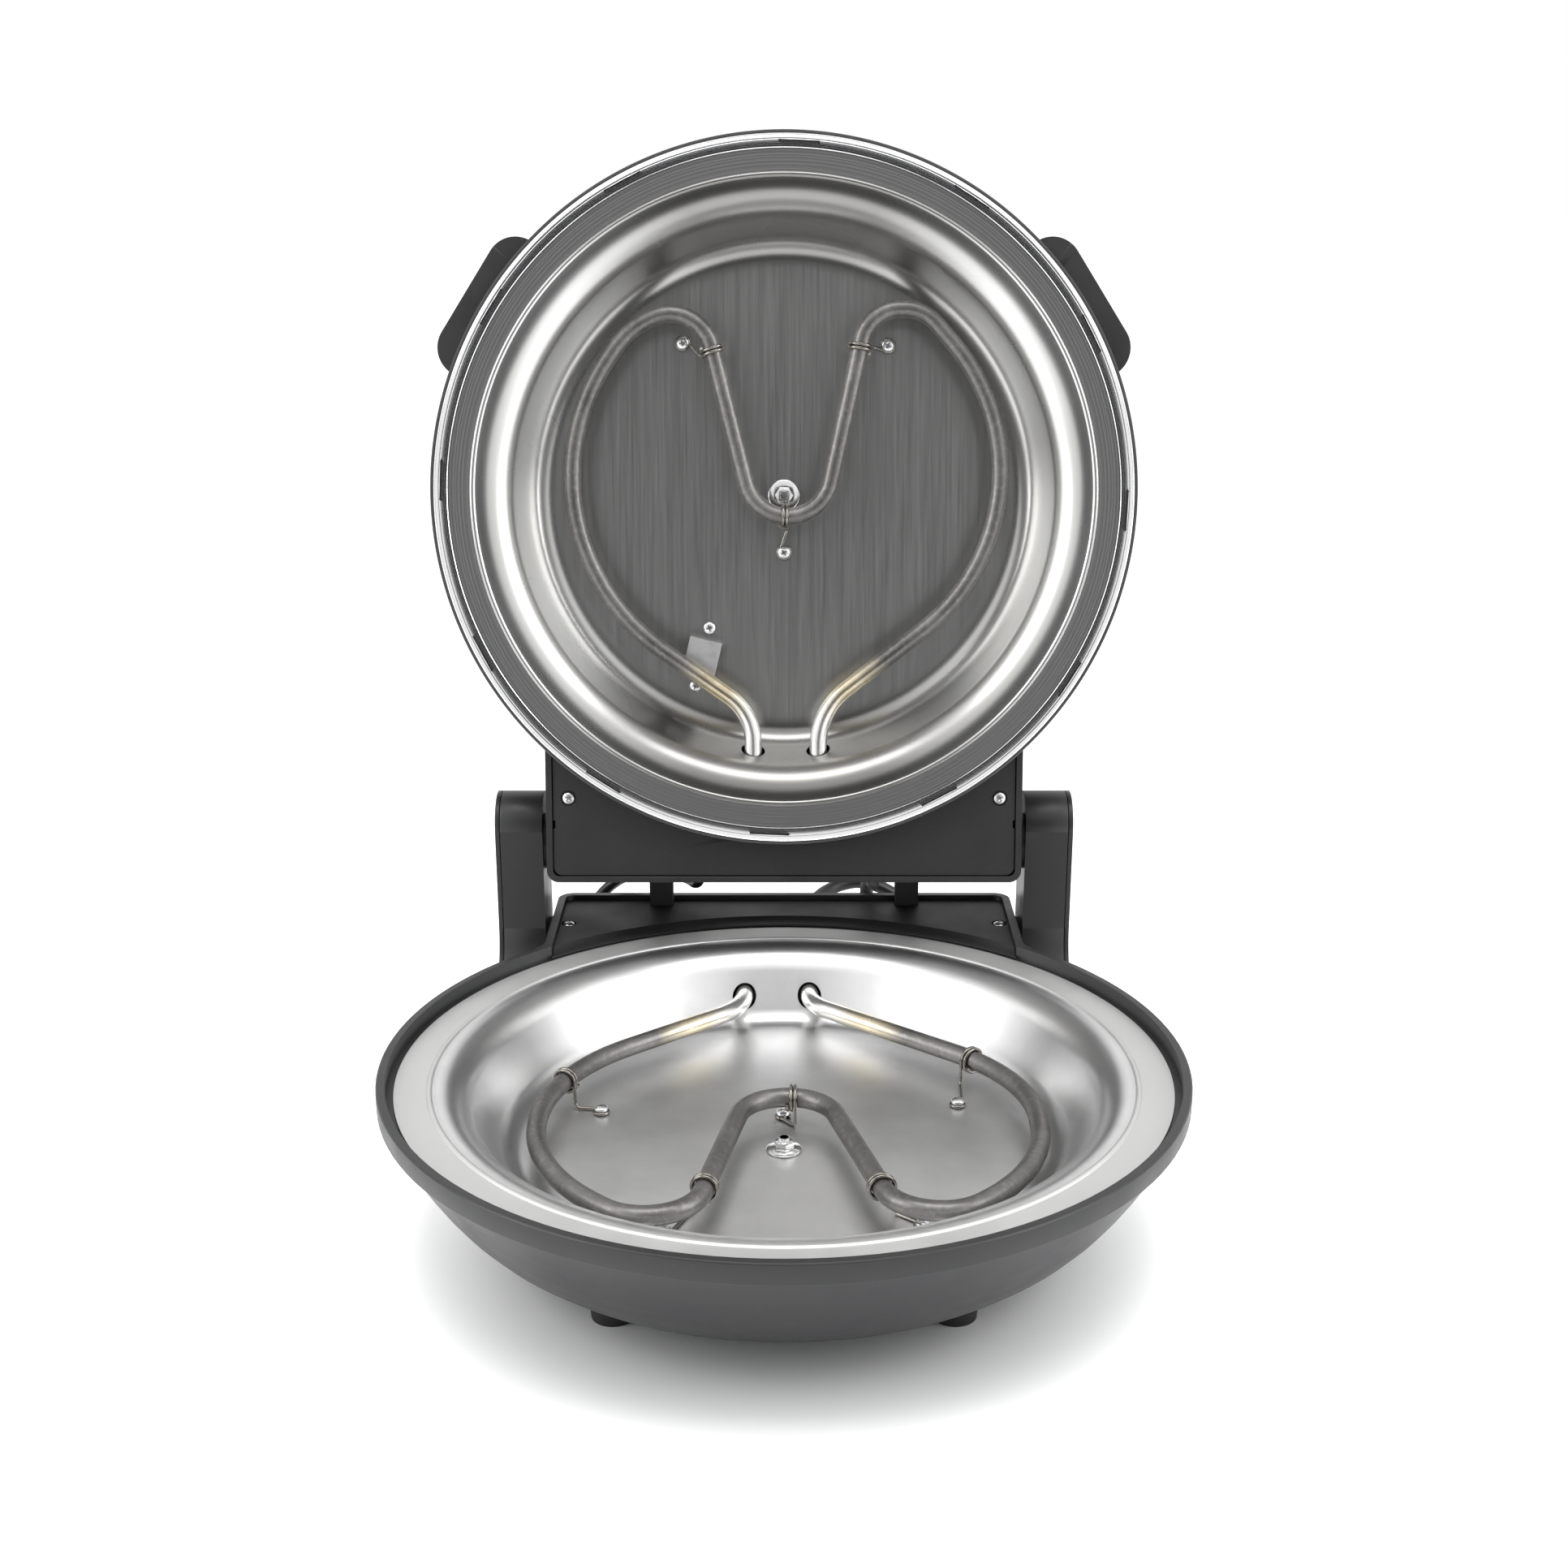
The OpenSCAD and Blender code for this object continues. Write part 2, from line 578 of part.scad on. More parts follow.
module cover_screws() {
    color("silver") for (s = [-1, 1])
        translate([s * cover_screw_at[0], cover_screw_at[1], cover_top - 1.35])
            pan_screw(screw_r - 0.15, 12, head_r);
}

module base_reflector() {
    color("gainsboro") translate([0, 0, flange_z]) difference() {
        dish(flange_r, bead_r);
        dish_holes(lower_end_shift, lower_screws, base_bolt_y);
    }
}

module lower_element() {
    color("#6f6a66") translate([0, 0, lower_tube_z]) bent_tube(lower_path, tube_r);
}

// Ceramic bead behind the reflector with a threaded stud on the tube's end
module tube_end(x, y, z, bead_y) {
    translate([x, bead_y, z]) rotate([-90, 0, 0]) difference() {
        cylinder(r = 6.5, h = 6);
        translate([0, 0, -1]) cylinder(r = tube_r + fit_gap, h = 8);
    }
    translate([x, y, z]) rotate([-90, 0, 0]) cylinder(r = 2, h = 8);
}

module lower_beads() {
    color("ivory") for (s = [-1, 1])
        tube_end(s * end_half + lower_end_shift, lower_end_y, lower_tube_z, lower_end_y - 16);
}

module lower_clips() {
    color("#8a8274") translate([0, 0, lower_tube_z]) for (i = [0 : len(lower_holds) - 1])
        wire_clip(lower_holds[i], lower_screws[i], tube_off, i == 4);
}

module lower_clip_screws() {
    color("silver") for (s = lower_screws)
        translate([s[0], s[1], lower_floor + 2 * wire_r + 2 * fit_gap])
            pan_screw(screw_r, 8, head_r);
}

// Bolt from underneath, up through both skins, with nut and washer on the floor
module base_bolt() {
    color("silver") translate([0, base_bolt_y, 0]) {
        translate([0, 0, bowl_low - 0.1]) cylinder(r = 2.5, h = lower_floor + 6.5 - bowl_low);
        translate([0, 0, bowl_low - 3.1]) cylinder(r = 4.5, h = 3);
    }
}

module nut_and_washer(r, across) {
    difference() {
        union() {
            cylinder(r = r, h = 1);
            translate([0, 0, 1.1]) cylinder(r = across / 2, h = 3.6, $fn = 6);
            translate([0, 0, 0.9]) cylinder(r = across / 2 - 0.6, h = 0.4);
        }
        translate([0, 0, -1]) cylinder(r = 2.55, h = 8);
    }
}

module base_nut() {
    color("white") translate([0, base_bolt_y, lower_floor + 0.1]) nut_and_washer(7.6, 9);
}

module base_spacer() {
    color("silver") translate([0, base_bolt_y, bowl_low + bowl_wall * 0.9 + 0.1]) difference() {
        cylinder(r = 5.5, h = lower_floor - sheet_t - bowl_low - bowl_wall * 0.9 - 0.2);
        translate([0, 0, -1]) cylinder(r = 2.6, h = 60);
    }
}

foot_spots = [[-front_foot_x, -front_foot_y], [front_foot_x, -front_foot_y],
    [-rear_foot_x, rear_foot_y], [rear_foot_x, rear_foot_y]];
module feet() {
    color("#151515") for (p = foot_spots) translate([p[0], p[1], 0]) difference() {
        union() {
            cylinder(r1 = foot_r - 1, r2 = foot_r, h = foot_h - fit_gap);
            if (p[1] < 0) translate([0, 0, foot_h - 1]) cylinder(r = foot_r, h = 4);
        }
        translate([0, 0, -1]) cylinder(r = 4, h = 5);
        cylinder(r = screw_r + 0.1, h = 30);
        translate([-p[0], -p[1], 0]) bowl_solid(fit_gap);
    }
}

module foot_screws() {
    color("silver") for (p = foot_spots) translate([p[0], p[1], 3.8]) rotate([180, 0, 0])
        pan_screw(screw_r - 0.1, 12, head_r);
}

// Side view of an arm: upright with a round top and a foot that sweeps forward
arm_front = hinge_y - arm_depth / 2;
arm_rear = hinge_y + arm_depth / 2;
arm_foot_r = 30;
module arm_outline(inset) {
    top = flange_z + arm_top_up;
    low = box_low + inset;
    translate([arm_front + inset, low]) square([arm_depth - 2 * inset, top - low]);
    translate([hinge_y, top]) circle(r = arm_depth / 2 - inset);
    difference() {
        translate([arm_front - arm_foot_r + inset, low])
            square([arm_foot_r + 1, flange_z + 3 - low]);
        translate([arm_front - arm_foot_r + inset, flange_z + 3]) circle(r = arm_foot_r);
    }
}

// A shape drawn in side view, standing upright at x, t thick
module upright(x, t) {
    translate([x, 0, 0]) rotate([90, 0, 90]) linear_extrude(t) children();
}

module arm() {
    difference() {
        union() {
            upright(arm_x, arm_w) arm_outline(0);
            translate([box_half_w + fit_gap, arm_front + 2, box_low])
                cube([arm_x - box_half_w, arm_depth - 4, flange_z - box_low - 2]);
            translate([lid_box_half_w + 0.4, hinge_y, hinge_z]) rotate([0, 90, 0])
                cylinder(r = boss_r, h = arm_x - lid_box_half_w);
        }
        // Recess that takes the end cap
        upright(arm_x + arm_w - 2.2, 3) arm_outline(2.5);
        bowl_solid(0.3);
        translate([0, 0, band_low - 1]) cylinder(r = rim_r + 0.3, h = 20);
        translate([lid_box_half_w - 5, hinge_y, hinge_z]) rotate([0, 90, 0])
            cylinder(r = pin_r + run_gap, h = arm_w + 14);
        for (z = arm_screw_z) translate([box_half_w - 1, arm_screw_y, z])
            rotate([0, 90, 0]) cylinder(r = screw_r, h = 16);
    }
}

module arm_cap() {
    upright(arm_cap_x, arm_cap_t) arm_outline(0);
    upright(arm_x + arm_w - 1.9, arm_cap_x - arm_x - arm_w + 2) arm_outline(3);
}

module arm_screws() {
    color("silver") both_sides() for (z = arm_screw_z)
        translate([box_inner_x - fit_gap, arm_screw_y, z]) rotate([0, -90, 0])
            pan_screw(screw_r - 0.1, 16, head_r);
}

module hinge_arm_right() { color("#3c3c3e") arm(); }
module hinge_arm_left() { color("#3c3c3e") mirror([1, 0, 0]) arm(); }
module arm_cap_right() { color("#39393b") arm_cap(); }
module arm_cap_left() { color("#39393b") mirror([1, 0, 0]) arm_cap(); }

module hinge_pins() {
    color("silver") both_sides() translate([lid_box_half_w - 11, hinge_y, hinge_z])
        rotate([0, 90, 0]) cylinder(r = pin_r, h = arm_x + arm_w - 3 - lid_box_half_w + 11);
}

// Top of the rests: parallel to the end of the open lid's box
function lid_end_z(y) = hinge_z - ((lid_box_y - hinge_y) + (y - hinge_y) * -cos(open_deg))
    / sin(open_deg);
module lid_rests() {
    color("#101010") both_sides() upright(rest_x - rest_w / 2, rest_w) polygon([
        [rest_front, flange_z - 12], [box_inner_y - 0.1, flange_z - 12],
        [box_inner_y - 0.1, lid_end_z(box_inner_y) - seat_gap],
        [rest_front, lid_end_z(rest_front) - seat_gap]]);
}

module terminal_block() {
    color("ivory") translate([-24, box_inner_y - 20.7, box_low + 3.2]) difference() {
        cube([48, 16, 14]);
        for (i = [0 : 3]) translate([6 + 12 * i, 8, 4]) cylinder(r = 2.6, h = 20);
    }
}

module base_grommets() {
    color("#1a1a1a") for (g = [[lead_left_points[0], lead_left_r], [lead_right_points[0], lead_right_r]])
        translate([g[0][0], 0, g[0][2]]) rotate([-90, 0, 0]) difference() {
            union() {
                translate([0, 0, box_inner_y - 2.2]) cylinder(r = 6.4, h = 2);
                translate([0, 0, box_inner_y - 1]) cylinder(r = 5.3, h = rim_wall + 2);
                translate([0, 0, box_rear_y + 0.2])
                    cylinder(r1 = 7, r2 = 5.4, h = g[0][1] - box_rear_y - 0.2 - seat_gap);
            }
            translate([0, 0, box_inner_y - 5]) cylinder(r = g[1] - 0.8, h = 30);
        }
}

module cord_gland() {
    p = mains_points[0];
    color("#1a1a1a") translate([p[0], 0, p[2]]) rotate([-90, 0, 0]) difference() {
        union() {
            translate([0, 0, box_inner_y - 2.2]) cylinder(r = 8.4, h = 2);
            translate([0, 0, box_inner_y - 1]) cylinder(r = 7.3, h = rim_wall + 2);
            translate([0, 0, box_rear_y + 0.2])
                cylinder(r1 = 8.5, r2 = cord_r + 1, h = p[1] - box_rear_y - 0.2 - seat_gap);
        }
        translate([0, 0, box_inner_y - 5]) cylinder(r = 2, h = 40);
    }
}

module mains_cord() { color("#232323") sweep(spline(mains_points, 6), cord_r, 8, [1, 0, 0]); }

module link_lead_left() {
    color("#202020") sweep(spline(lead_left_points, 4), lead_left_r, 8, [1, 0, 0]);
}

module link_lead_right() {
    color("#5a5a5a") sweep(spline(lead_right_points, 4), lead_right_r, 8, [1, 0, 0]);
}

module cord_coil() {
    color("#232323") translate([coil_at[0], coil_at[1], 0]) rotate_extrude()
        translate([coil_mid_r - coil_turn_w / 2, 0]) square([coil_turn_w, coil_h]);
}

// The plug lies beside the coil, on the line where the outer turn leaves it
plug_sleeve = 22;
plug_at = [coil_at[0] - coil_mid_r - coil_turn_w / 4,
    coil_at[1] - sqrt(pow(coil_mid_r + coil_turn_w / 2, 2) - pow(coil_mid_r - 1, 2)) - 0.2];
module plug() {
    color("#232323") translate([plug_at[0], plug_at[1], 0]) {
        translate([0, 0, plug_h / 2]) rotate([90, 0, 0])
            cylinder(r1 = cord_r + 0.5, r2 = plug_h / 2 - 0.5, h = plug_sleeve + 1);
        translate([0, -plug_sleeve - plug_l, 0]) linear_extrude(plug_h) polygon([
            [-plug_half_w, 0], [plug_half_w, 0], [plug_half_w, plug_l - 16], [6, plug_l],
            [-6, plug_l], [-plug_half_w, plug_l - 16]]);
    }
}

module plug_pins() {
    color("silver") for (s = [-1, 1])
        translate([plug_at[0] + s * 9.3, plug_at[1] - plug_sleeve - plug_l - fit_gap, plug_h / 2])
            rotate([90, 0, 0]) cylinder(r = 2.3, h = 18);
}

module lid_shell() {
    color("#3b3b3d") open_lid() difference() {
        rotate_extrude() polygon(concat(dome_line(0), reversed(dome_line(dome_t))));
        translate([thermostat_at[0], thermostat_at[1], dome_top - 30]) cylinder(r = 4, h = 40);
        translate([lamp_at[0], lamp_at[1], dome_top - 30]) cylinder(r = 4, h = 40);
        translate([0, 0, dome_top - 10]) cylinder(r = 2.6, h = 20);
        // Way through for the wiring into the rear box
        translate([-30, lid_r - 37.4, flange_z + 26]) cube([60, 50, 18]);
        both_sides() handle_place() for (s = [-1, 1])
            translate([-20, s * handle_screw_y, flange_z + 8 + handle_h / 2]) rotate([0, 90, 0])
                cylinder(r = 2, h = 30);
    }
}

slot_count = 12;
slot_l = 19;
slot_w = 0.9;
slot_turn = 2.5;
module lid_ring() {
    top = upper_flange - fit_gap;
    low = lid_edge_z + 0.5;
    r = lid_r - dome_t - fit_gap;
    color("whitesmoke") open_lid() difference() {
        rotate_extrude() polygon([
            [r - 6.6, top], [r - 6.5, top - 0.9], [r - 5.8, top - 1.3], [r - 3, top - 1.75],
            [r - 2.1, top - 1.85], [r - 1, top - 2.3], [r - 0.7, low], [r, low], [r, top + 4],
            [r - 0.6, top + 4], [r - 0.6, low + 1.3], [r - 1.6, top - 1],
            [r - 4.8, top - 0.9], [r - 5.6, top - 0.5], [r - 5.7, top]
        ]);
        for (i = [0 : slot_count - 1]) rotate([0, 0, slot_turn + 360 * i / slot_count])
            translate([r - 3.5 - slot_w / 2, -slot_l / 2, low - 3]) cube([slot_w, slot_l, 5]);
    }
}

module lid_reflector() {
    color("gainsboro") open_lid() translate([0, 0, upper_flange]) mirror([0, 0, 1]) difference() {
        dish(lid_flange_r, bead_r - upper_bead_in);
        dish_holes(upper_end_shift, upper_screws, 0);
        for (s = [-1, 1])
            translate([thermostat_at[0] + s * 3.5, thermostat_at[1] - s * 14.5, -dish_depth - 3])
            cylinder(r = screw_r + 0.1, h = 6);
    }
}

// Solid of the dome's outside, grown by a gap
module dome_solid(gap) {
    rotate_extrude() polygon(concat([[0, lid_edge_z - 20], [lid_r + gap, lid_edge_z - 20]],
        [for (p = dome_line(-gap)) [max(p[0], 0), p[1]]]));
}

lid_box_front = lid_r - 59.4;
lid_corner_r = 6;
lid_round_r = 5;
module lid_box_side(inset) {
    low = flange_z + lid_box_low;
    top = flange_z + lid_box_top - inset;
    rear = lid_box_y - inset;
    r = lid_round_r - inset;
    translate([lid_box_front + inset, low]) square([rear - lid_box_front - inset, top - low - r]);
    translate([lid_box_front + inset, low])
        square([rear - r - lid_box_front - inset, top - low]);
    translate([rear - r, top - r]) circle(r = r);
}

module lid_box_block(inset) {
    intersection() {
        upright(-lid_box_half_w + inset, 2 * (lid_box_half_w - inset)) lid_box_side(inset);
        translate([0, 0, flange_z - 5]) linear_extrude(120)
            box_plan(lid_box_half_w - inset, lid_box_y - inset, lid_corner_r - inset);
    }
}

module lid_rear_box() {
    color("#2b2b2d") open_lid() difference() {
        union() {
            difference() {
                lid_box_block(0);
                lid_box_block(lid_box_wall);
                translate([0, 0, flange_z - 5]) linear_extrude(30)
                    box_plan(lid_box_half_w - lid_box_wall, lid_box_y - lid_box_wall, 3);
            }
            // Screw posts and a rib that ties them to the top
            for (s = [-1, 1]) translate([s * panel_screw_at[0], panel_screw_at[1], panel_z + panel_t + 0.1])
                cylinder(r = 4.5, h = flange_z + lid_box_top - lid_box_wall - panel_z - panel_t + 1);
        }
        dome_solid(0.3);
        for (s = [-1, 1]) {
            translate([s * panel_screw_at[0], panel_screw_at[1], panel_z])
                cylinder(r = screw_r - 0.1, h = 20);
            translate([s * (lid_box_half_w - 6), hinge_y, hinge_z]) rotate([0, s * 90, 0])
                cylinder(r = 7.05, h = 10);
        }
        for (g = lid_leads) translate([g[0], lid_box_y - 8, g[1]]) rotate([-90, 0, 0])
            cylinder(r = 5.5, h = 12);
    }
}

// Where the leads enter the end of the lid's box, as [x, height] with the lid closed
function closed_z(p) = hinge_z + (p[1] - hinge_y) * sin(open_deg) + (p[2] - hinge_z) * cos(open_deg);
lead_left_end = lead_left_points[len(lead_left_points) - 1];
lead_right_end = lead_right_points[len(lead_right_points) - 1];
lid_leads = [[lead_left_end[0], closed_z(lead_left_end), lead_left_r],
    [lead_right_end[0], closed_z(lead_right_end), lead_right_r]];
module lid_grommets() {
    color("#1a1a1a") open_lid() for (g = lid_leads)
        translate([g[0], 0, g[1]]) rotate([-90, 0, 0]) difference() {
            union() {
                translate([0, 0, lid_box_y - lid_box_wall - 2.2]) cylinder(r = 7, h = 2);
                translate([0, 0, lid_box_y - lid_box_wall - 1]) cylinder(r = 5.3, h = lid_box_wall + 1.8);
            }
            translate([0, 0, lid_box_y - 10]) cylinder(r = g[2] - 0.8, h = 30);
        }
}

module lid_rear_panel() {
    color("#232325") open_lid() difference() {
        translate([0, 0, panel_z]) linear_extrude(panel_t) difference() {
            box_plan(lid_box_half_w - lid_box_wall - 0.5, lid_box_y - lid_box_wall - 0.5, 4);
            circle(r = lid_r + 0.5);
            translate([-rim_r, -1]) square([2 * rim_r, lid_box_front + 3]);
            for (s = [-1, 1]) translate([s * (lid_box_half_w - lid_box_wall) - 1.4, hinge_y - 15.5])
                square([2.8, 4]);
        }
        for (s = [-1, 1]) translate([s * panel_screw_at[0], panel_screw_at[1], panel_z - 1]) {
            cylinder(r = screw_r + 0.1, h = 10);
            cylinder(r = head_r + 0.8, h = 1.9);
        }
    }
}

module panel_screws() {
    color("silver") open_lid() for (s = [-1, 1])
        translate([s * panel_screw_at[0], panel_screw_at[1], panel_z + 0.85]) rotate([180, 0, 0])
            pan_screw(screw_r - 0.15, 10, head_r);
}

module hinge_bushes() {
    color("white") open_lid() both_sides()
        translate([lid_box_half_w - 10, hinge_y, hinge_z]) rotate([0, 90, 0]) difference() {
            union() {
                cylinder(r = 7, h = 10.2);
                translate([0, 0, 4.8]) cylinder(r = 9.5, h = 2);
            }
            translate([0, 0, -1]) cylinder(r = pin_r + run_gap, h = 20);
        }
}

module upper_element() {
    color("#6f6a66") open_lid() translate([0, 0, upper_tube_z]) bent_tube(upper_path, tube_r);
}

module upper_beads() {
    color("ivory") open_lid() for (s = [-1, 1])
        tube_end(s * end_half + upper_end_shift, upper_end_y, upper_tube_z, upper_end_y - 6.5);
}

module upper_clips() {
    color("#8a8274") open_lid() translate([0, 0, upper_tube_z]) mirror([0, 0, 1])
        for (i = [0 : len(upper_holds) - 1])
            wire_clip(upper_holds[i], upper_screws[i], tube_off);
}

module upper_clip_screws() {
    color("silver") open_lid() for (s = upper_screws)
        translate([s[0], s[1], upper_floor - 2 * wire_r - 2 * fit_gap]) rotate([180, 0, 0])
            pan_screw(screw_r, 8, head_r);
}

module lid_bolt() {
    color("silver") open_lid() {
        translate([0, 0, upper_floor - 6]) cylinder(r = 2.5, h = dome_top - upper_floor + 6.2);
        translate([0, 0, dome_top + 0.1]) cylinder(r1 = 6, r2 = 4, h = 2.5);
    }
}

module lid_spacer() {
    color("silver") open_lid() translate([0, 0, upper_floor + sheet_t + fit_gap]) difference() {
        cylinder(r = 5, h = dome_top - dome_t - upper_floor - sheet_t - seat_gap);
        translate([0, 0, -1]) cylinder(r = 2.6, h = 60);
    }
}

module lid_nut() {
    color("white") open_lid() translate([0, 0, upper_floor - 0.1]) rotate([180, 0, 0])
        nut_and_washer(7.6, 9);
}

thermostat_turn = 13.6;
module at_thermostat(z) {
    translate([thermostat_at[0], thermostat_at[1], z]) rotate([0, 0, thermostat_turn]) children();
}

module thermostat() {
    color("#c8c8c8") open_lid() {
        at_thermostat(upper_floor + sheet_t + 0.1) difference() {
            translate([-13, -19, 0]) cube([26, 38, 16]);
            for (s = [-1, 1]) translate([0, s * 14.9, -1]) cylinder(r = 1.8, h = 10);
        }
        at_thermostat(upper_floor + sheet_t + 16)
            cylinder(r = 3, h = shaft_top - upper_floor - sheet_t - 16);
    }
}

module thermostat_screws() {
    color("silver") open_lid() for (s = [-1, 1])
        at_thermostat(upper_floor - 0.1) translate([0, s * 14.9, 0]) rotate([180, 0, 0])
            pan_screw(1.7, 7, head_r);
}

// Bent sheet tab between the reflector and the tube
module thermostat_tab() {
    low = upper_tube_z + tube_r + 0.3;
    color("whitesmoke") open_lid() at_thermostat(low) {
        translate([-8, -9, 0]) cube([16, 17, 0.8]);
        translate([-8, -9, 0]) cube([16, 0.8, upper_floor - low - 0.1]);
    }
}

dial_r = knob_r + 4;
dial_top = dome_z(norm(thermostat_at) - dial_r) + 1;
shaft_top = dial_top + knob_h - 4;
module knob_dial() {
    color("#1d1d1f") open_lid() difference() {
        translate([thermostat_at[0], thermostat_at[1], dial_top - 12]) cylinder(r = dial_r, h = 12);
        dome_solid(0.1);
        translate([thermostat_at[0], thermostat_at[1], dial_top - 20]) cylinder(r = 4, h = 40);
    }
}

module thermostat_knob() {
    color("#161616") open_lid() translate([thermostat_at[0], thermostat_at[1], dial_top + 0.5])
        difference() {
            union() {
                cylinder(r = knob_r, h = 3);
                cylinder(r = knob_r - 2, h = knob_h - 2);
                translate([-3, -knob_r + 2.5, knob_h - 3]) cube([6, 2 * knob_r - 5, 3]);
            }
            translate([0, 0, -1]) cylinder(r = 3 + run_gap, h = knob_h - 3);
        }
}

module pilot_lamp() {
    top = dome_z(norm(lamp_at) - 7) + 0.8;
    color("orangered") open_lid() {
        difference() {
            translate([lamp_at[0], lamp_at[1], top - 6]) cylinder(r = 6.5, h = 6);
            dome_solid(0.1);
        }
        translate([lamp_at[0], lamp_at[1], top - 14]) cylinder(r = 3.8, h = 16);
    }
}

// Frame of a side handle: x points outwards from the lid's axis
module handle_place() {
    rotate([0, 0, -handle_deg]) translate([lid_r, 0, 0]) children();
}

module handle_block() {
    low = flange_z + 8;
    difference() {
        handle_place() translate([0, 0, low]) {
            linear_extrude(handle_h) {
                translate([-40, -handle_l / 2]) square([40 + handle_out - handle_corner, handle_l]);
                translate([-40, handle_corner - handle_l / 2])
                    square([40 + handle_out, handle_l - 2 * handle_corner]);
                for (s = [-1, 1])
                    translate([handle_out - handle_corner, s * (handle_l / 2 - handle_corner)])
                        circle(r = handle_corner);
            }
        }
        dome_solid(0.1);
        handle_place() for (s = [-1, 1])
            translate([-20, s * handle_screw_y, low + handle_h / 2]) rotate([0, 90, 0])
                cylinder(r = 1.8, h = 27);
    }
}

module handle_right() { color("#19191a") open_lid() handle_block(); }
module handle_left() { color("#19191a") open_lid() mirror([1, 0, 0]) handle_block(); }

module handle_screws() {
    z = flange_z + 8 + handle_h / 2;
    r = shoulder_c + sqrt(pow(shoulder_r, 2) - pow(z - shoulder_z, 2));
    flat_x = sqrt(pow(r, 2) - pow(handle_screw_y, 2)) - dome_t - lid_r;
    color("silver") open_lid() both_sides() handle_place() for (s = [-1, 1])
        translate([flat_x - 1.2, s * handle_screw_y, z]) rotate([0, -90, 0]) pan_screw(1.7, 9, head_r);
}

// Every part stands in the frame of the footprint
module placed() {
    translate([0, -frame_y, 0]) children();
}

placed() base_rim();
placed() base_bowl();
placed() box_floor();
placed() box_floor_screws();
placed() base_rear_cover();
placed() cover_screws();
placed() base_reflector();
placed() lower_element();
placed() lower_beads();
placed() lower_clips();
placed() lower_clip_screws();
placed() base_bolt();
placed() base_nut();
placed() base_spacer();
placed() feet();
placed() foot_screws();
placed() hinge_arm_left();
placed() hinge_arm_right();
placed() arm_screws();
placed() arm_cap_left();
placed() arm_cap_right();
placed() hinge_pins();
placed() lid_rests();
placed() terminal_block();
placed() base_grommets();
placed() cord_gland();
placed() mains_cord();
placed() cord_coil();
placed() plug();
placed() plug_pins();
placed() link_lead_left();
placed() link_lead_right();
placed() lid_shell();
placed() lid_ring();
placed() lid_reflector();
placed() lid_rear_box();
placed() lid_rear_panel();
placed() panel_screws();
placed() hinge_bushes();
placed() upper_element();
placed() upper_beads();
placed() upper_clips();
placed() upper_clip_screws();
placed() lid_bolt();
placed() lid_nut();
placed() lid_spacer();
placed() thermostat();
placed() thermostat_screws();
placed() thermostat_tab();
placed() knob_dial();
placed() pilot_lamp();
placed() handle_left();
placed() handle_right();
placed() handle_screws();
placed() lid_grommets();
placed() thermostat_knob();
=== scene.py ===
# %% [markdown]
# # An electric pizza maker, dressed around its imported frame
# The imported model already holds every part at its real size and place. Here each part that
# shows gets a smoother shape and a real finish. Everything is in metres, in the same frame.

# %% Load the frame
import json
import math

import bmesh
import bpy
from mathutils import Matrix, Vector


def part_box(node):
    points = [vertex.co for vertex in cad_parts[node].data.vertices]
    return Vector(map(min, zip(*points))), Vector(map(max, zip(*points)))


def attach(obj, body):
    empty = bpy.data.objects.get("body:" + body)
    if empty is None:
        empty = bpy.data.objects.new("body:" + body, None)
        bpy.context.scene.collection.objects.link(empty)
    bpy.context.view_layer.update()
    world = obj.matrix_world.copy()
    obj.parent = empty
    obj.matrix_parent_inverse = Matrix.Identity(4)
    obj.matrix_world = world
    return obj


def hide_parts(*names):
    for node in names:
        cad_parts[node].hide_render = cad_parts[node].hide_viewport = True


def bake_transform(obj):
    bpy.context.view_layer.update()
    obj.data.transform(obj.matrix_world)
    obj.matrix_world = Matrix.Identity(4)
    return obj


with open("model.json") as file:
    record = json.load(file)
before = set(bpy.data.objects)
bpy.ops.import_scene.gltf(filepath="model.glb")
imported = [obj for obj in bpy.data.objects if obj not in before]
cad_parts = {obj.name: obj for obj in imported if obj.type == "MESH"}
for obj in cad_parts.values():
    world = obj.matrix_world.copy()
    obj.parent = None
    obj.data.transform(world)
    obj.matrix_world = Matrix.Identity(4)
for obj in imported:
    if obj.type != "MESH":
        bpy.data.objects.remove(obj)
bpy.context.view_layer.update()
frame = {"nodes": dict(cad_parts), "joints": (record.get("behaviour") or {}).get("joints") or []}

# %% [markdown]
# The bowl, the reflectors and the lid are all turned about one upright axis. Two numbers tie the
# scene to the frame: where that axis stands, and how high the lower reflector's flange lies.
# The lid is easiest to draw closed, so one matrix opens it about the hinge.

# %% The axis, the flange and the hinge
MM = 0.001
bowl_low, bowl_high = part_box("base_bowl")
AXIS_Y = (bowl_low[1] + bowl_high[1]) / 2
hinge = next(j for j in frame["joints"] if j["name"] == "lid_hinge")
HINGE = Vector(hinge["pos_m"])
OPEN = math.radians(hinge["range_deg"][1])
FLANGE = 68 * MM
LID_FLANGE = FLANGE + 5.5 * MM
TO_AXIS = Matrix.Translation((0, AXIS_Y, 0))
OPEN_LID = (Matrix.Translation(HINGE) @ Matrix.Rotation(-OPEN, 4, "X")
            @ Matrix.Translation(-HINGE))
print("axis y %.4f, hinge %s, opens %.1f deg" % (AXIS_Y, list(HINGE), math.degrees(OPEN)))

# %% [markdown]
# The camera stands 0.8 m in front of the bowl's axis and looks down by 17 degrees, with a lens
# of about 47 mm. The whole appliance and its shadow fit the square frame.

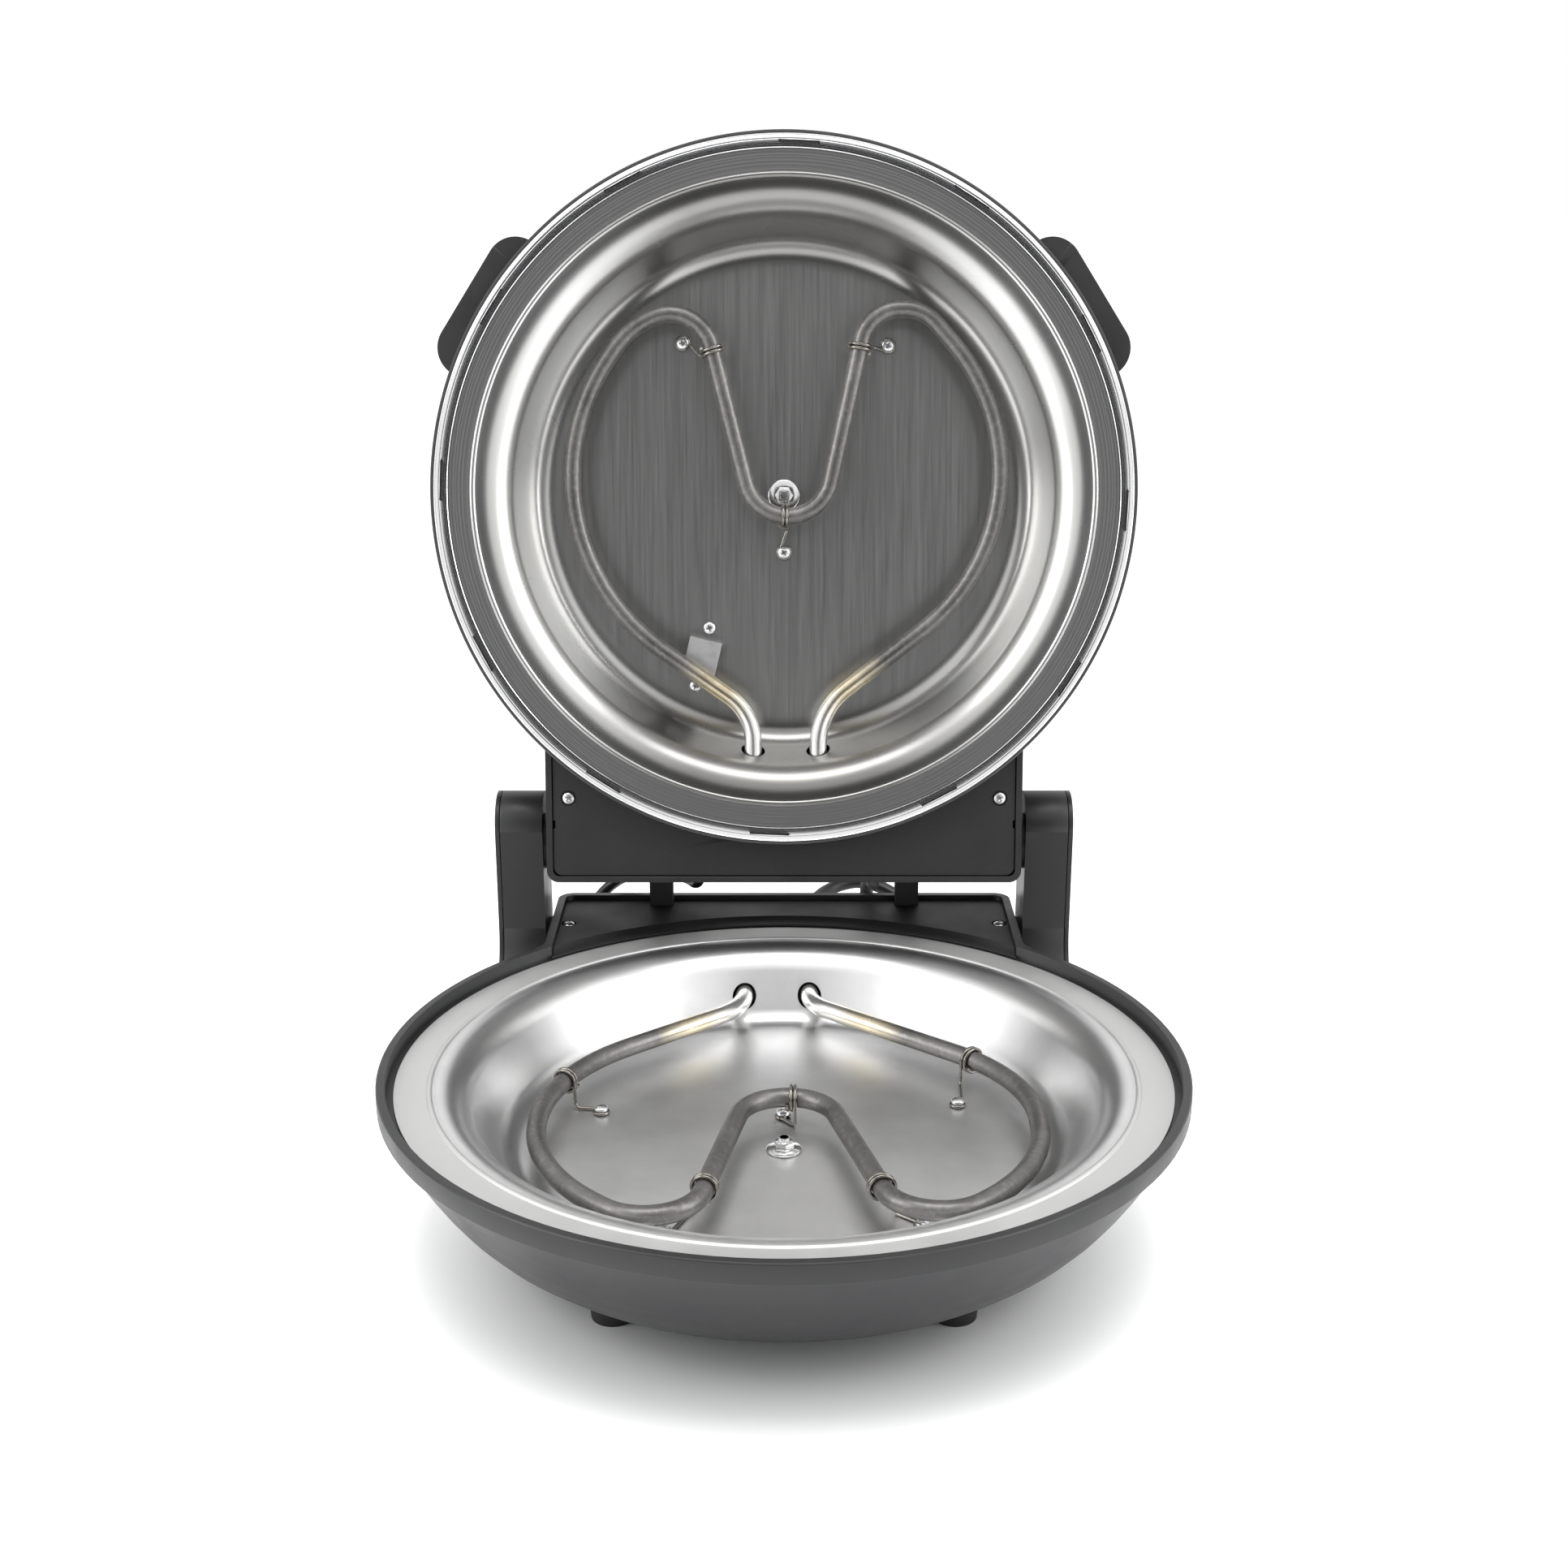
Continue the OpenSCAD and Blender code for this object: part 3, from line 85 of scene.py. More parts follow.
# %% Camera
camera_data = bpy.data.cameras.new("camera")
camera_data.lens = 46.58
camera_data.sensor_width = 36
camera_data.clip_end = 60
camera = bpy.data.objects.new("camera", camera_data)
bpy.context.collection.objects.link(camera)
camera.location = (0, AXIS_Y - 0.798, FLANGE + 0.3745)
camera.rotation_euler = (math.radians(90 - 17.2), 0, 0)
bpy.context.scene.camera = camera
bpy.context.scene.view_settings.view_transform = "Standard"
print("camera at", [round(v, 3) for v in camera.location])

# %% [markdown]
# One cord is free here. It leaves a gland in the rear box, drops behind the base and goes into a
# small flat coil on the worktop, with its plug beside it. Its route is drawn through given
# points, then wound: outer turn, inner turn, up and back out.

# %% The mains cord's route
def smooth_route(points, steps=6):
    """Points of a soft curve through given ones."""
    p = [Vector(q) for q in points]
    curve = []
    for i in range(len(p) - 1):
        a, b, c, d = p[max(i - 1, 0)], p[i], p[i + 1], p[min(i + 2, len(p) - 1)]
        for j in range(steps):
            u = j / steps
            curve.append(0.5 * (2 * b + (c - a) * u + (2 * a - 5 * b + 4 * c - d) * u * u
                                + (3 * b - a - 3 * c + d) * u ** 3))
    return curve + [p[-1]]


def ease(value, start, end):
    """0 before start, 1 after end, and a soft step between."""
    u = min(max((value - start) / (end - start), 0), 1)
    return u * u * (3 - 2 * u)


CORD = 7 * MM
COIL = (60, 296)
PLUG_X, PLUG_Y, PLUG_Z = 16.5, 269.6, 6
route = smooth_route([
    (16, 212, 60), (16, 218, 60), (17, 225, 60), (20, 232, 61), (25, 238, 62), (32, 243, 63),
    (41, 247, 63), (51, 249, 60), (61, 251, 54), (71, 253, 45), (81, 256, 34), (91, 259, 23),
    (100, 264, 14), (107, 274, 6), (110, 285, 4)])
for degrees in range(4, 1261, 8):
    a = math.radians(degrees)
    radius = (51 - 7.5 * ease(degrees, 0, 60) - 7 * ease(degrees, 325, 375)
              + 7 * ease(degrees, 960, 1010))
    height = 3.6 + 6.9 * ease(degrees, 655, 700)
    route.append(Vector((COIL[0] + radius * math.cos(a), COIL[1] + radius * math.sin(a), height)))
for y, z in ((290, 10.5), (284, 10.4), (278, 9.4), (273, 7.2), (PLUG_Y, PLUG_Z)):
    route.append(Vector((PLUG_X, y, z)))
route = [TO_AXIS @ (point * MM) for point in route]

# %% [markdown]
# Every piece below is made the same way: an outline or a path becomes a bmesh, the bmesh becomes
# an object at the origin, and the object is tied to the body that carries it. These helpers do
# that work once. A turned solid is an outline spun about the axis, a bent tube is a row of
# circles bridged into one skin, and a moulding is a flat outline pushed up and bevelled.

# %% Helpers that shape a piece
def arc(centre, radius, start, end, steps):
    """Points of an arc as (x, y), in the outline's own units, angles in degrees."""
    turn = [math.radians(start + (end - start) * i / steps) for i in range(steps + 1)]
    return [(centre[0] + radius * math.cos(a), centre[1] + radius * math.sin(a)) for a in turn]


def turned(outline, steps=240):
    """A closed outline of (radius, height) in mm, spun about the bowl's axis."""
    bm = bmesh.new()
    points = [bm.verts.new((r * MM, 0, z * MM)) for r, z in outline]
    lines = [bm.edges.new(pair) for pair in zip(points, points[1:] + points[:1])]
    bmesh.ops.spin(bm, geom=points + lines, cent=(0, 0, 0), axis=(0, 0, 1),
                   angle=2 * math.pi, steps=steps, use_merge=True)
    bmesh.ops.remove_doubles(bm, verts=bm.verts, dist=1e-6)
    loose = [edge for edge in bm.edges if not edge.link_faces]
    bmesh.ops.delete(bm, geom=loose, context="EDGES")
    bmesh.ops.recalc_face_normals(bm, faces=bm.faces)
    return bm


def ring_frames(path):
    """A turning frame at each point of a path, carried along without twist."""
    frames, side = [], None
    for i, point in enumerate(path):
        ahead = (path[min(i + 1, len(path) - 1)] - path[max(i - 1, 0)]).normalized()
        if side is None:
            side = ahead.orthogonal().normalized()
        side = (side - ahead * side.dot(ahead)).normalized()
        across = ahead.cross(side)
        frames.append(Matrix((side, across, ahead)).transposed().to_4x4())
        frames[-1].translation = point
    return frames


def skin(bm, rings):
    """Bridge each ring of points to the next, and close both ends."""
    for near, far in zip(rings, rings[1:]):
        edges = [e for ring in (near, far) for e in {e for v in ring for e in v.link_edges}
                 if e.verts[0] in ring and e.verts[1] in ring]
        bmesh.ops.bridge_loops(bm, edges=edges)
    for ring in (rings[0], rings[-1]):
        bm.faces.new(ring)
    bmesh.ops.recalc_face_normals(bm, faces=bm.faces)


def bent_tube(bm, path, radius, sides=20, lead=0.0):
    """A round tube along points in metres. "from_end" holds the way to its near end, plus lead."""
    from_end = bm.verts.layers.float.get("from_end") or bm.verts.layers.float.new("from_end")
    whole = sum((b - a).length for a, b in zip(path, path[1:]))
    rings, run = [], 0.0
    for i, frame_here in enumerate(ring_frames(path)):
        run += (path[i] - path[i - 1]).length if i else 0.0
        ring = bmesh.ops.create_circle(bm, segments=sides, radius=radius, matrix=frame_here)
        for vert in ring["verts"]:
            vert[from_end] = min(run, whole - run) + lead
        rings.append(ring["verts"])
    skin(bm, rings)
    return whole


def moulding(outline, low, high, bevel=0.0, segments=3):
    """A flat outline in mm, pushed up from low to high and rounded along its edges."""
    bm = bmesh.new()
    face = bm.faces.new([bm.verts.new((x * MM, y * MM, low * MM)) for x, y in outline])
    risen = bmesh.ops.extrude_face_region(bm, geom=[face])
    top = [v for v in risen["geom"] if isinstance(v, bmesh.types.BMVert)]
    bmesh.ops.translate(bm, verts=top, vec=(0, 0, (high - low) * MM))
    bmesh.ops.recalc_face_normals(bm, faces=bm.faces)
    if bevel:
        bevel_edges(bm, bevel, segments)
    return bm


def bevel_edges(bm, width, segments=3, least=40):
    """Round every edge of a bmesh that is sharper than the given angle."""
    sharp = [e for e in bm.edges
             if len(e.link_faces) == 2 and e.calc_face_angle(0) > math.radians(least)]
    bmesh.ops.bevel(bm, geom=sharp, offset=width * MM, segments=segments, profile=0.5,
                    affect="EDGES", material=-1, clamp_overlap=True)


def cut(obj, *cutters):
    """Cut other solids out of a piece for good, and remove them."""
    for cutter in cutters:
        modifier = obj.modifiers.new("cut", "BOOLEAN")
        modifier.object = cutter
        modifier.operation = "DIFFERENCE"
        modifier.solver = "EXACT"
    seen = obj.evaluated_get(bpy.context.evaluated_depsgraph_get())
    whole = bpy.data.meshes.new_from_object(seen)
    obj.modifiers.clear()
    obj.data = whole
    for cutter in cutters:
        bpy.data.objects.remove(cutter)


def loose_object(name, bm):
    """An object of a bmesh, not yet tied to the frame."""
    mesh = bpy.data.meshes.new(name)
    bm.to_mesh(mesh)
    bm.free()
    obj = bpy.data.objects.new(name, mesh)
    bpy.context.collection.objects.link(obj)
    return obj


def piece(name, bm, body, material, stands_for=(), place=TO_AXIS, cutters=(), sharp=35,
          crosses=False):
    """Make a finished piece of a bmesh: placed, drilled, smoothed and riding on its body."""
    obj = loose_object(name, bm)
    if cutters:
        cut(obj, *cutters)
    plan = obj.data.attributes.new("plan", "FLOAT_VECTOR", "POINT")
    plan.data.foreach_set("vector", [c for v in obj.data.vertices for c in v.co])
    obj.data.transform(OPEN_LID @ place if body != "base" else place)
    obj.data.materials.clear()
    obj.data.materials.append(material)
    for polygon in obj.data.polygons:
        polygon.use_smooth = True
    obj.data.set_sharp_from_angle(angle=math.radians(sharp))
    if not crosses:
        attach(obj, body)
    if stands_for:
        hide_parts(*stands_for)
    print("%-22s %6d faces on %s" % (name, len(obj.data.polygons), body))
    return obj


# %% [markdown]
# A finish is a Principled shader with noise hung on it. The noise reads Object coordinates, or
# the place a point had before the piece was opened, so it stays put when a part turns.
# Stretched noise draws brushing, fine noise draws the grain of moulded plastic, and a slow noise
# makes one patch a little duller than the next.

# %% Helpers that make a finish
class Finish:
    """A material, its shader, and the few nodes that the finishes here are made of."""

    def __init__(self, name, color, roughness, metallic=0.0, plan=False, **sockets):
        self.material = bpy.data.materials.new(name)
        self.material.use_nodes = True
        self.tree = self.material.node_tree
        self.shader = self.tree.nodes["Principled BSDF"]
        self.shader.inputs["Base Color"].default_value = (*color, 1)
        self.shader.inputs["Roughness"].default_value = roughness
        self.shader.inputs["Metallic"].default_value = metallic
        for socket, value in sockets.items():
            self.shader.inputs[socket.replace("_", " ")].default_value = value
        self.place = self.tree.nodes.new("ShaderNodeTexCoord").outputs["Object"]
        if plan:
            self.place = self.attribute("plan").outputs["Vector"]

    def node(self, kind, **values):
        made = self.tree.nodes.new(kind)
        for name, value in values.items():
            setattr(made, name, value)
        return made

    def join(self, source, target):
        self.tree.links.new(source, target)

    def attribute(self, name):
        return self.node("ShaderNodeAttribute", attribute_name=name)

    def distance(self, centre=(0, 0)):
        """Distance from an upright line, in metres."""
        flat = self.node("ShaderNodeVectorMath", operation="MULTIPLY_ADD")
        flat.inputs[1].default_value = (1, 1, 0)
        flat.inputs[2].default_value = (-centre[0], -centre[1], 0)
        self.join(self.place, flat.inputs[0])
        length = self.node("ShaderNodeVectorMath", operation="LENGTH")
        self.join(flat.outputs["Vector"], length.inputs[0])
        return length.outputs["Value"]

    def rings(self, source, scale, detail=2.0):
        """Fine noise along one number, such as a distance, in cells per metre."""
        noise = self.node("ShaderNodeTexNoise", noise_dimensions="1D")
        noise.inputs["Scale"].default_value = scale
        noise.inputs["Detail"].default_value = detail
        self.join(source, noise.inputs["W"])
        return noise.outputs["Fac"]

    def grain(self, scale, stretch=(1, 1, 1), detail=2.0, roughness=0.5, turn=(0, 0, 0)):
        """Noise at a number of cells per metre, stretched along the axes."""
        mapping = self.node("ShaderNodeMapping")
        mapping.inputs["Scale"].default_value = stretch
        mapping.inputs["Rotation"].default_value = turn
        noise = self.node("ShaderNodeTexNoise")
        noise.inputs["Scale"].default_value = scale
        noise.inputs["Detail"].default_value = detail
        noise.inputs["Roughness"].default_value = roughness
        self.join(self.place, mapping.inputs["Vector"])
        self.join(mapping.outputs["Vector"], noise.inputs["Vector"])
        return noise.outputs["Fac"]

    def span(self, source, low, high, start=0.3, end=0.7):
        """The source from start to end, spread over low to high."""
        spread = self.node("ShaderNodeMapRange")
        for socket, value in (("From Min", start), ("From Max", end),
                              ("To Min", low), ("To Max", high)):
            spread.inputs[socket].default_value = value
        self.join(source, spread.inputs["Value"])
        return spread.outputs["Result"]

    def mix(self, factor, first, second):
        """Two colours, or sockets, mixed by a factor."""
        mixer = self.node("ShaderNodeMix", data_type="RGBA")
        self.join(factor, mixer.inputs["Factor"])
        for value, socket in ((first, mixer.inputs[6]), (second, mixer.inputs[7])):
            if isinstance(value, tuple):
                socket.default_value = (*value, 1)
            else:
                self.join(value, socket)
        return mixer.outputs[2]

    def color(self, source):
        self.join(source, self.shader.inputs["Base Color"])

    def rough(self, source):
        self.join(source, self.shader.inputs["Roughness"])

    def relief(self, source, depth):
        """Bump of a depth in metres."""
        bump = self.node("ShaderNodeBump")
        bump.inputs["Distance"].default_value = depth
        bump.inputs["Strength"].default_value = 1.0
        if self.shader.inputs["Normal"].links:
            self.join(self.shader.inputs["Normal"].links[0].from_socket, bump.inputs["Normal"])
        self.join(source, bump.inputs["Height"])
        self.join(bump.outputs["Normal"], self.shader.inputs["Normal"])


# %% [markdown]
# The floor is one large pale plane. It takes the shadow, and a little light of its own, seen by
# the camera and in reflections, lifts it to the white of the room. That light is zero near the
# base and grows to full further out, so a painted shadow darkens the floor round the base.
# Two tall soft boxes stand left and right, because polished metal shows nothing but what stands
# round it, and one hangs overhead. The room is white to the camera and to reflections, and
# dimmer to matt surfaces. Two dark cards are seen in reflections only: one behind the camera
# gives the open lid its dark middle, and one high above the hinge greys the lower part of the
# lid's wall.

# %% Floor, room and lamps
def rays(tree, *names):
    """1 for any of the named kinds of ray."""
    kinds = tree.nodes.new("ShaderNodeLightPath")
    total = kinds.outputs[names[0]]
    for name in names[1:]:
        adder = tree.nodes.new("ShaderNodeMath")
        adder.operation = "MAXIMUM"
        tree.links.new(total, adder.inputs[0])
        tree.links.new(kinds.outputs[name], adder.inputs[1])
        total = adder.outputs[0]
    return total


def plane(name, size, matrix, material):
    """A flat square that belongs to the room."""
    bm = bmesh.new()
    bmesh.ops.create_grid(bm, x_segments=1, y_segments=1, size=size / 2)
    obj = loose_object(name, bm)
    obj.data.transform(matrix)
    obj.data.materials.append(material)
    return obj


# Painted shadow: the floor's own light is held back near the base and grows to full over these
# distances from the centre, so the floor round the base is painted darker.
PAINTED_SHADOW_CENTRE = (0, AXIS_Y - 0.03)
PAINTED_SHADOW_FADE = (0.09, 0.195)
paper = Finish("floor_paper", (0.80, 0.80, 0.80), 0.9)
lift = paper.node("ShaderNodeEmission")
lift.inputs["Color"].default_value = (1, 1, 1, 1)
lift_amount = paper.node("ShaderNodeMath", operation="MULTIPLY")
painted_shadow_ramp = paper.span(paper.distance(centre=PAINTED_SHADOW_CENTRE), 0.0, 0.72, *PAINTED_SHADOW_FADE)
painted_shadow_ramp.node.interpolation_type = "SMOOTHSTEP"
paper.join(painted_shadow_ramp, lift_amount.inputs[1])
paper.join(rays(paper.tree, "Is Camera Ray", "Is Glossy Ray"), lift_amount.inputs[0])
paper.join(lift_amount.outputs[0], lift.inputs["Strength"])
both = paper.node("ShaderNodeAddShader")
paper.join(paper.shader.outputs[0], both.inputs[0])
paper.join(lift.outputs[0], both.inputs[1])
paper.join(both.outputs[0], paper.tree.nodes["Material Output"].inputs["Surface"])
plane("floor", 30, Matrix.Identity(4), paper.material)


def card(name, cover, width, depth, y, z, tilt):
    """A dark card that only reflections see, and that covers a share of the white behind it."""
    f = Finish(name, (0.02, 0.02, 0.022), 1.0)
    shown = f.node("ShaderNodeMixShader")
    f.join(f.span(rays(f.tree, "Is Glossy Ray"), 0, cover, 0, 1), shown.inputs[0])
    f.join(f.node("ShaderNodeBsdfTransparent").outputs[0], shown.inputs[1])
    f.join(f.shader.outputs[0], shown.inputs[2])
    f.join(shown.outputs[0], f.tree.nodes["Material Output"].inputs["Surface"])
    plane(name, 1.0, Matrix.Translation((0, AXIS_Y + y, z))
          @ Matrix.Rotation(math.radians(tilt), 4, "X") @ Matrix.Diagonal((width, depth, 1, 1)),
          f.material)


card("front_card", 1.0, 1.0, 1.0, -1.25, 0.50, 90)
card("high_card", 0.92, 1.1, 0.95, 0.50, 1.20, 0)

world = bpy.data.worlds.new("white_room")
bpy.context.scene.world = world
world.use_nodes = True
room = world.node_tree
for node in list(room.nodes):
    room.nodes.remove(node)
seen, dim = (room.nodes.new("ShaderNodeBackground") for _ in range(2))
seen.inputs["Strength"].default_value = 1.0
seen.inputs["Color"].default_value = (1, 1, 1, 1)
dim.inputs["Strength"].default_value = 0.45
dim.inputs["Color"].default_value = (0.96, 0.98, 1, 1)
choose = room.nodes.new("ShaderNodeMixShader")
room.links.new(rays(room, "Is Camera Ray", "Is Glossy Ray", "Is Transmission Ray"),
               choose.inputs[0])
room.links.new(dim.outputs[0], choose.inputs[1])
room.links.new(seen.outputs[0], choose.inputs[2])
room.links.new(choose.outputs[0], room.nodes.new("ShaderNodeOutputWorld").inputs["Surface"])


def soft_box(name, place, aim, size, power):
    """An area lamp turned to a point."""
    lamp = bpy.data.lights.new(name, "AREA")
    lamp.shape = "RECTANGLE"
    lamp.size, lamp.size_y = size
    lamp.energy = power
    obj = bpy.data.objects.new(name, lamp)
    bpy.context.collection.objects.link(obj)
    obj.location = place
    obj.rotation_euler = (Vector(aim) - Vector(place)).to_track_quat("-Z", "Y").to_euler()


soft_box("left_box", (-1.5, -0.5, 0.9), (0, 0, 0.15), (0.7, 1.4), 16)
soft_box("right_box", (1.5, -0.4, 0.9), (0, 0, 0.15), (0.7, 1.4), 15)
soft_box("top_box", (0, -0.1, 1.9), (0, 0, 0.1), (1.4, 1.2), 26)
print("floor, room, two cards and three soft boxes")

# %% [markdown]
# Now the finishes. The base and the arms are satin charcoal plastic with a fine grain, and the
# base's shell also has a few pale rubs and chips like those of a knocked edge, scattered over it
# by noise. The covers are black and more strongly textured. Rubber and cord sheaths are smooth
# and nearly black.

# %% Finishes of plastic and rubber
def moulded(name, color, roughness, grain, depth, rub=None, **sockets):
    """Moulded plastic: fine grain in relief, a slow change of gloss, and pale rubs."""
    f = Finish(name, color, roughness, **sockets)
    fine = f.grain(grain, detail=3)
    slow = f.grain(28, detail=3)
    f.relief(fine, depth)
    f.rough(f.span(slow, roughness - 0.07, roughness + 0.09))
    tone = f.mix(f.span(slow, 0, 1), tuple(c * 0.88 for c in color),
                 tuple(c * 1.12 for c in color))
    if rub:
        specks = f.grain(420, detail=4, roughness=0.7)
        tone = f.mix(f.span(specks, 0, rub[0], rub[1], rub[1] + 0.05), tone, rub[2])
    f.color(tone)
    return f.material


SHELL = moulded("charcoal_shell", (0.020, 0.020, 0.021), 0.42, 2600, 4e-5,
                rub=(0.55, 0.70, (0.24, 0.24, 0.24)))
BOWL = moulded("charcoal_bowl", (0.022, 0.022, 0.024), 0.38, 2600, 3e-5)
COVER = moulded("black_cover", (0.012, 0.012, 0.0125), 0.55, 1500, 9e-5)
BOX = moulded("black_box", (0.013, 0.013, 0.014), 0.5, 1500, 7e-5)
ARM = moulded("charcoal_arm", (0.021, 0.021, 0.022), 0.40, 2600, 3e-5)
HANDLE = moulded("black_handle", (0.019, 0.019, 0.020), 0.42, 1900, 5e-5)
RUBBER = moulded("black_rubber", (0.016, 0.016, 0.016), 0.62, 1400, 5e-5)
SHEATH = moulded("cord_sheath", (0.018, 0.018, 0.019), 0.38, 900, 4e-5)
LEAD = moulded("black_lead", (0.016, 0.016, 0.017), 0.36, 900, 4e-5)
KNOB = moulded("knob_black", (0.014, 0.014, 0.015), 0.28, 2600, 2e-5)
NYLON = moulded("white_nylon", (0.62, 0.62, 0.59), 0.35, 1800, 2e-5)
CERAMIC = moulded("white_ceramic", (0.60, 0.57, 0.50), 0.30, 900, 6e-5)

sleeve = Finish("grey_sleeve", (0.17, 0.17, 0.17), 0.6)
weave = [sleeve.grain(1500, stretch=(1, 0.25, 0.25), turn=(0, 0, sign * 0.9)) for sign in (-1, 1)]
sleeve.relief(weave[0], 1.5e-4)
sleeve.relief(weave[1], 1.5e-4)
sleeve.color(sleeve.mix(sleeve.span(weave[0], 0, 1), (0.11, 0.11, 0.11), (0.24, 0.24, 0.235)))
SLEEVE = sleeve.material

dome = Finish("dome_paint", (0.052, 0.052, 0.055), 0.34, Coat_Weight=0.25, Coat_Roughness=0.25)
dome.relief(dome.grain(700, detail=3), 2.5e-5)
dome.rough(dome.span(dome.grain(22, detail=3), 0.28, 0.42))
dome.color(dome.mix(dome.span(dome.grain(3000), 0, 1),
                    (0.046, 0.046, 0.049), (0.060, 0.060, 0.064)))
DOME = dome.material

lens = Finish("lamp_lens", (0.75, 0.10, 0.03), 0.12, Transmission_Weight=0.4)
lens.relief(lens.grain(260), 1e-4)
lens.color(lens.mix(lens.span(lens.grain(120), 0, 1), (0.72, 0.08, 0.02), (0.85, 0.16, 0.05)))
LENS = lens.material
print("15 finishes of plastic, rubber, ceramic and paint")

# %% [markdown]
# The metal follows its zones. Both reflectors are thin bright sheet: the lower one has a matt
# flange, a polished wall and a duller floor, and the upper one has a turned flange and a floor
# with straight brushing. A distance from the axis tells the shader which zone it is in. The
# upper one's wall is painted darker towards its front and rear edge: a painted reflection of
# dark surroundings, not a tone of the metal.

# %% Finishes of metal
WALL_TOP, FLOOR_EDGE = 0.1485, 0.1115
STRAW_FROM, BURNT_FROM, DULL_FROM = (0.062, 0.082), (0.088, 0.108), (0.085, 0.125)


def zone_at(f, edge, width=0.0015):
    """1 inside a radius and 0 outside it, in metres."""
    return f.span(f.distance(), 1, 0, edge - width, edge + width)


def number_mix(f, factor, first, second):
    """Two numbers mixed by a factor."""
    mixer = f.node("ShaderNodeMix", data_type="FLOAT")
    f.join(factor, mixer.inputs[0])
    f.join(first, mixer.inputs[2])
    f.join(second, mixer.inputs[3])
    return mixer.outputs[0]


lower = Finish("lower_reflector", (0.78, 0.78, 0.78), 0.3, metallic=1.0, plan=True)
in_bowl, on_floor = zone_at(lower, WALL_TOP), zone_at(lower, FLOOR_EDGE, 0.004)
stains = lower.grain(34, detail=5, roughness=0.65)
wall_gloss = lower.span(stains, 0.285, 0.295)
floor_gloss = lower.span(stains, 0.38, 0.41)
flange_gloss = lower.span(stains, 0.50, 0.58)
lower.rough(number_mix(lower, in_bowl, flange_gloss,
                       number_mix(lower, on_floor, wall_gloss, floor_gloss)))
bright = lower.mix(lower.span(stains, 0, 1), (0.72, 0.72, 0.72), (0.80, 0.80, 0.80))
dull = lower.mix(lower.span(stains, 0, 1), (0.60, 0.60, 0.60), (0.68, 0.68, 0.68))
lower.color(lower.mix(in_bowl, (0.62, 0.62, 0.615), lower.mix(on_floor, bright, dull)))
lower.relief(lower.grain(1800, detail=2), 4e-7)
LOWER = lower.material

upper = Finish("upper_reflector", (0.70, 0.70, 0.71), 0.3, metallic=1.0, plan=True)
in_dish, on_disc = zone_at(upper, WALL_TOP), zone_at(upper, FLOOR_EDGE, 0.003)
tarnish = upper.grain(14, detail=1, roughness=0.4)
brushing = upper.grain(1000, stretch=(1, 0.02, 1), detail=4, roughness=0.6, turn=(0, 0, 0.12))
turning = upper.rings(upper.distance(), 1800, detail=3)
upper.rough(number_mix(upper, in_dish, upper.span(turning, 0.30, 0.42),
                       number_mix(upper, on_disc, upper.span(tarnish, 0.26, 0.28),
                                  upper.span(brushing, 0.31, 0.36))))
disc_tone = upper.mix(upper.span(brushing, 0, 1), (0.34, 0.34, 0.335), (0.38, 0.38, 0.375))
flange_tone = upper.mix(upper.span(turning, 0, 1), (0.22, 0.22, 0.22), (0.27, 0.27, 0.27))
wall_tarnish_and_painted_reflection = upper.mix(upper.span(tarnish, 0, 1), (0.56, 0.555, 0.54), (0.62, 0.62, 0.61))
# Painted reflection: the wall's colour darkens towards its front and rear edge, standing in for
# the dark surroundings that the polished wall reflects there.
for end in (-0.155, 0.155):
    painted_reflection_mask = upper.span(upper.distance(centre=(0, end)), 0, 1, 0.05, 0.12)
    wall_tarnish_and_painted_reflection = upper.mix(painted_reflection_mask, (0.27, 0.265, 0.255), wall_tarnish_and_painted_reflection)
upper.color(upper.mix(in_dish, flange_tone, upper.mix(on_disc, wall_tarnish_and_painted_reflection, disc_tone)))
UPPER = upper.material

ring = Finish("polished_ring", (0.86, 0.86, 0.86), 0.14, metallic=1.0, plan=True)
lathe = ring.rings(ring.distance(), 2600, detail=3)
ring.rough(ring.span(lathe, 0.10, 0.20))
ring.color(ring.mix(ring.span(lathe, 0, 1), (0.80, 0.80, 0.80), (0.90, 0.90, 0.90)))
ring.relief(lathe, 1e-6)
RING = ring.material

heat = Finish("heat_tinted_tube", (0.20, 0.185, 0.17), 0.38, metallic=0.85)
near_end = heat.attribute("from_end").outputs["Fac"]
scale_noise = heat.grain(45, detail=5, roughness=0.7)
fleck = heat.grain(420, detail=4)
burnt = heat.mix(heat.span(scale_noise, 0, 1), (0.120, 0.116, 0.112), (0.190, 0.184, 0.177))
burnt = heat.mix(heat.span(fleck, 0, 0.4, 0.5, 0.75), burnt, (0.30, 0.29, 0.275))
straw = heat.mix(heat.span(scale_noise, 0, 1), (0.52, 0.44, 0.29), (0.66, 0.60, 0.46))
cool = heat.mix(heat.span(scale_noise, 0, 1), (0.66, 0.655, 0.64), (0.78, 0.775, 0.76))
tinted = heat.mix(heat.span(near_end, 0, 1, *BURNT_FROM), straw, burnt)
heat.color(heat.mix(heat.span(near_end, 0, 1, *STRAW_FROM), cool, tinted))
dull_tube = heat.span(scale_noise, 0.36, 0.48)
heat.rough(number_mix(heat, heat.span(near_end, 0, 1, *DULL_FROM),
                      heat.span(scale_noise, 0.20, 0.28), dull_tube))
heat.relief(fleck, 3e-5)
TUBE = heat.material


def plated(name, color, roughness, wear):
    """Bright hardware with fine turning marks and duller patches."""
    f = Finish(name, color, roughness, metallic=1.0)
    patches = f.grain(240, detail=4)
    f.rough(f.span(patches, roughness - 0.03, roughness + 0.07))
    f.color(f.mix(f.span(patches, 0, 1), color, tuple(c * wear for c in color)))
    f.relief(f.grain(2500, detail=2), 1.5e-6)
    return f.material


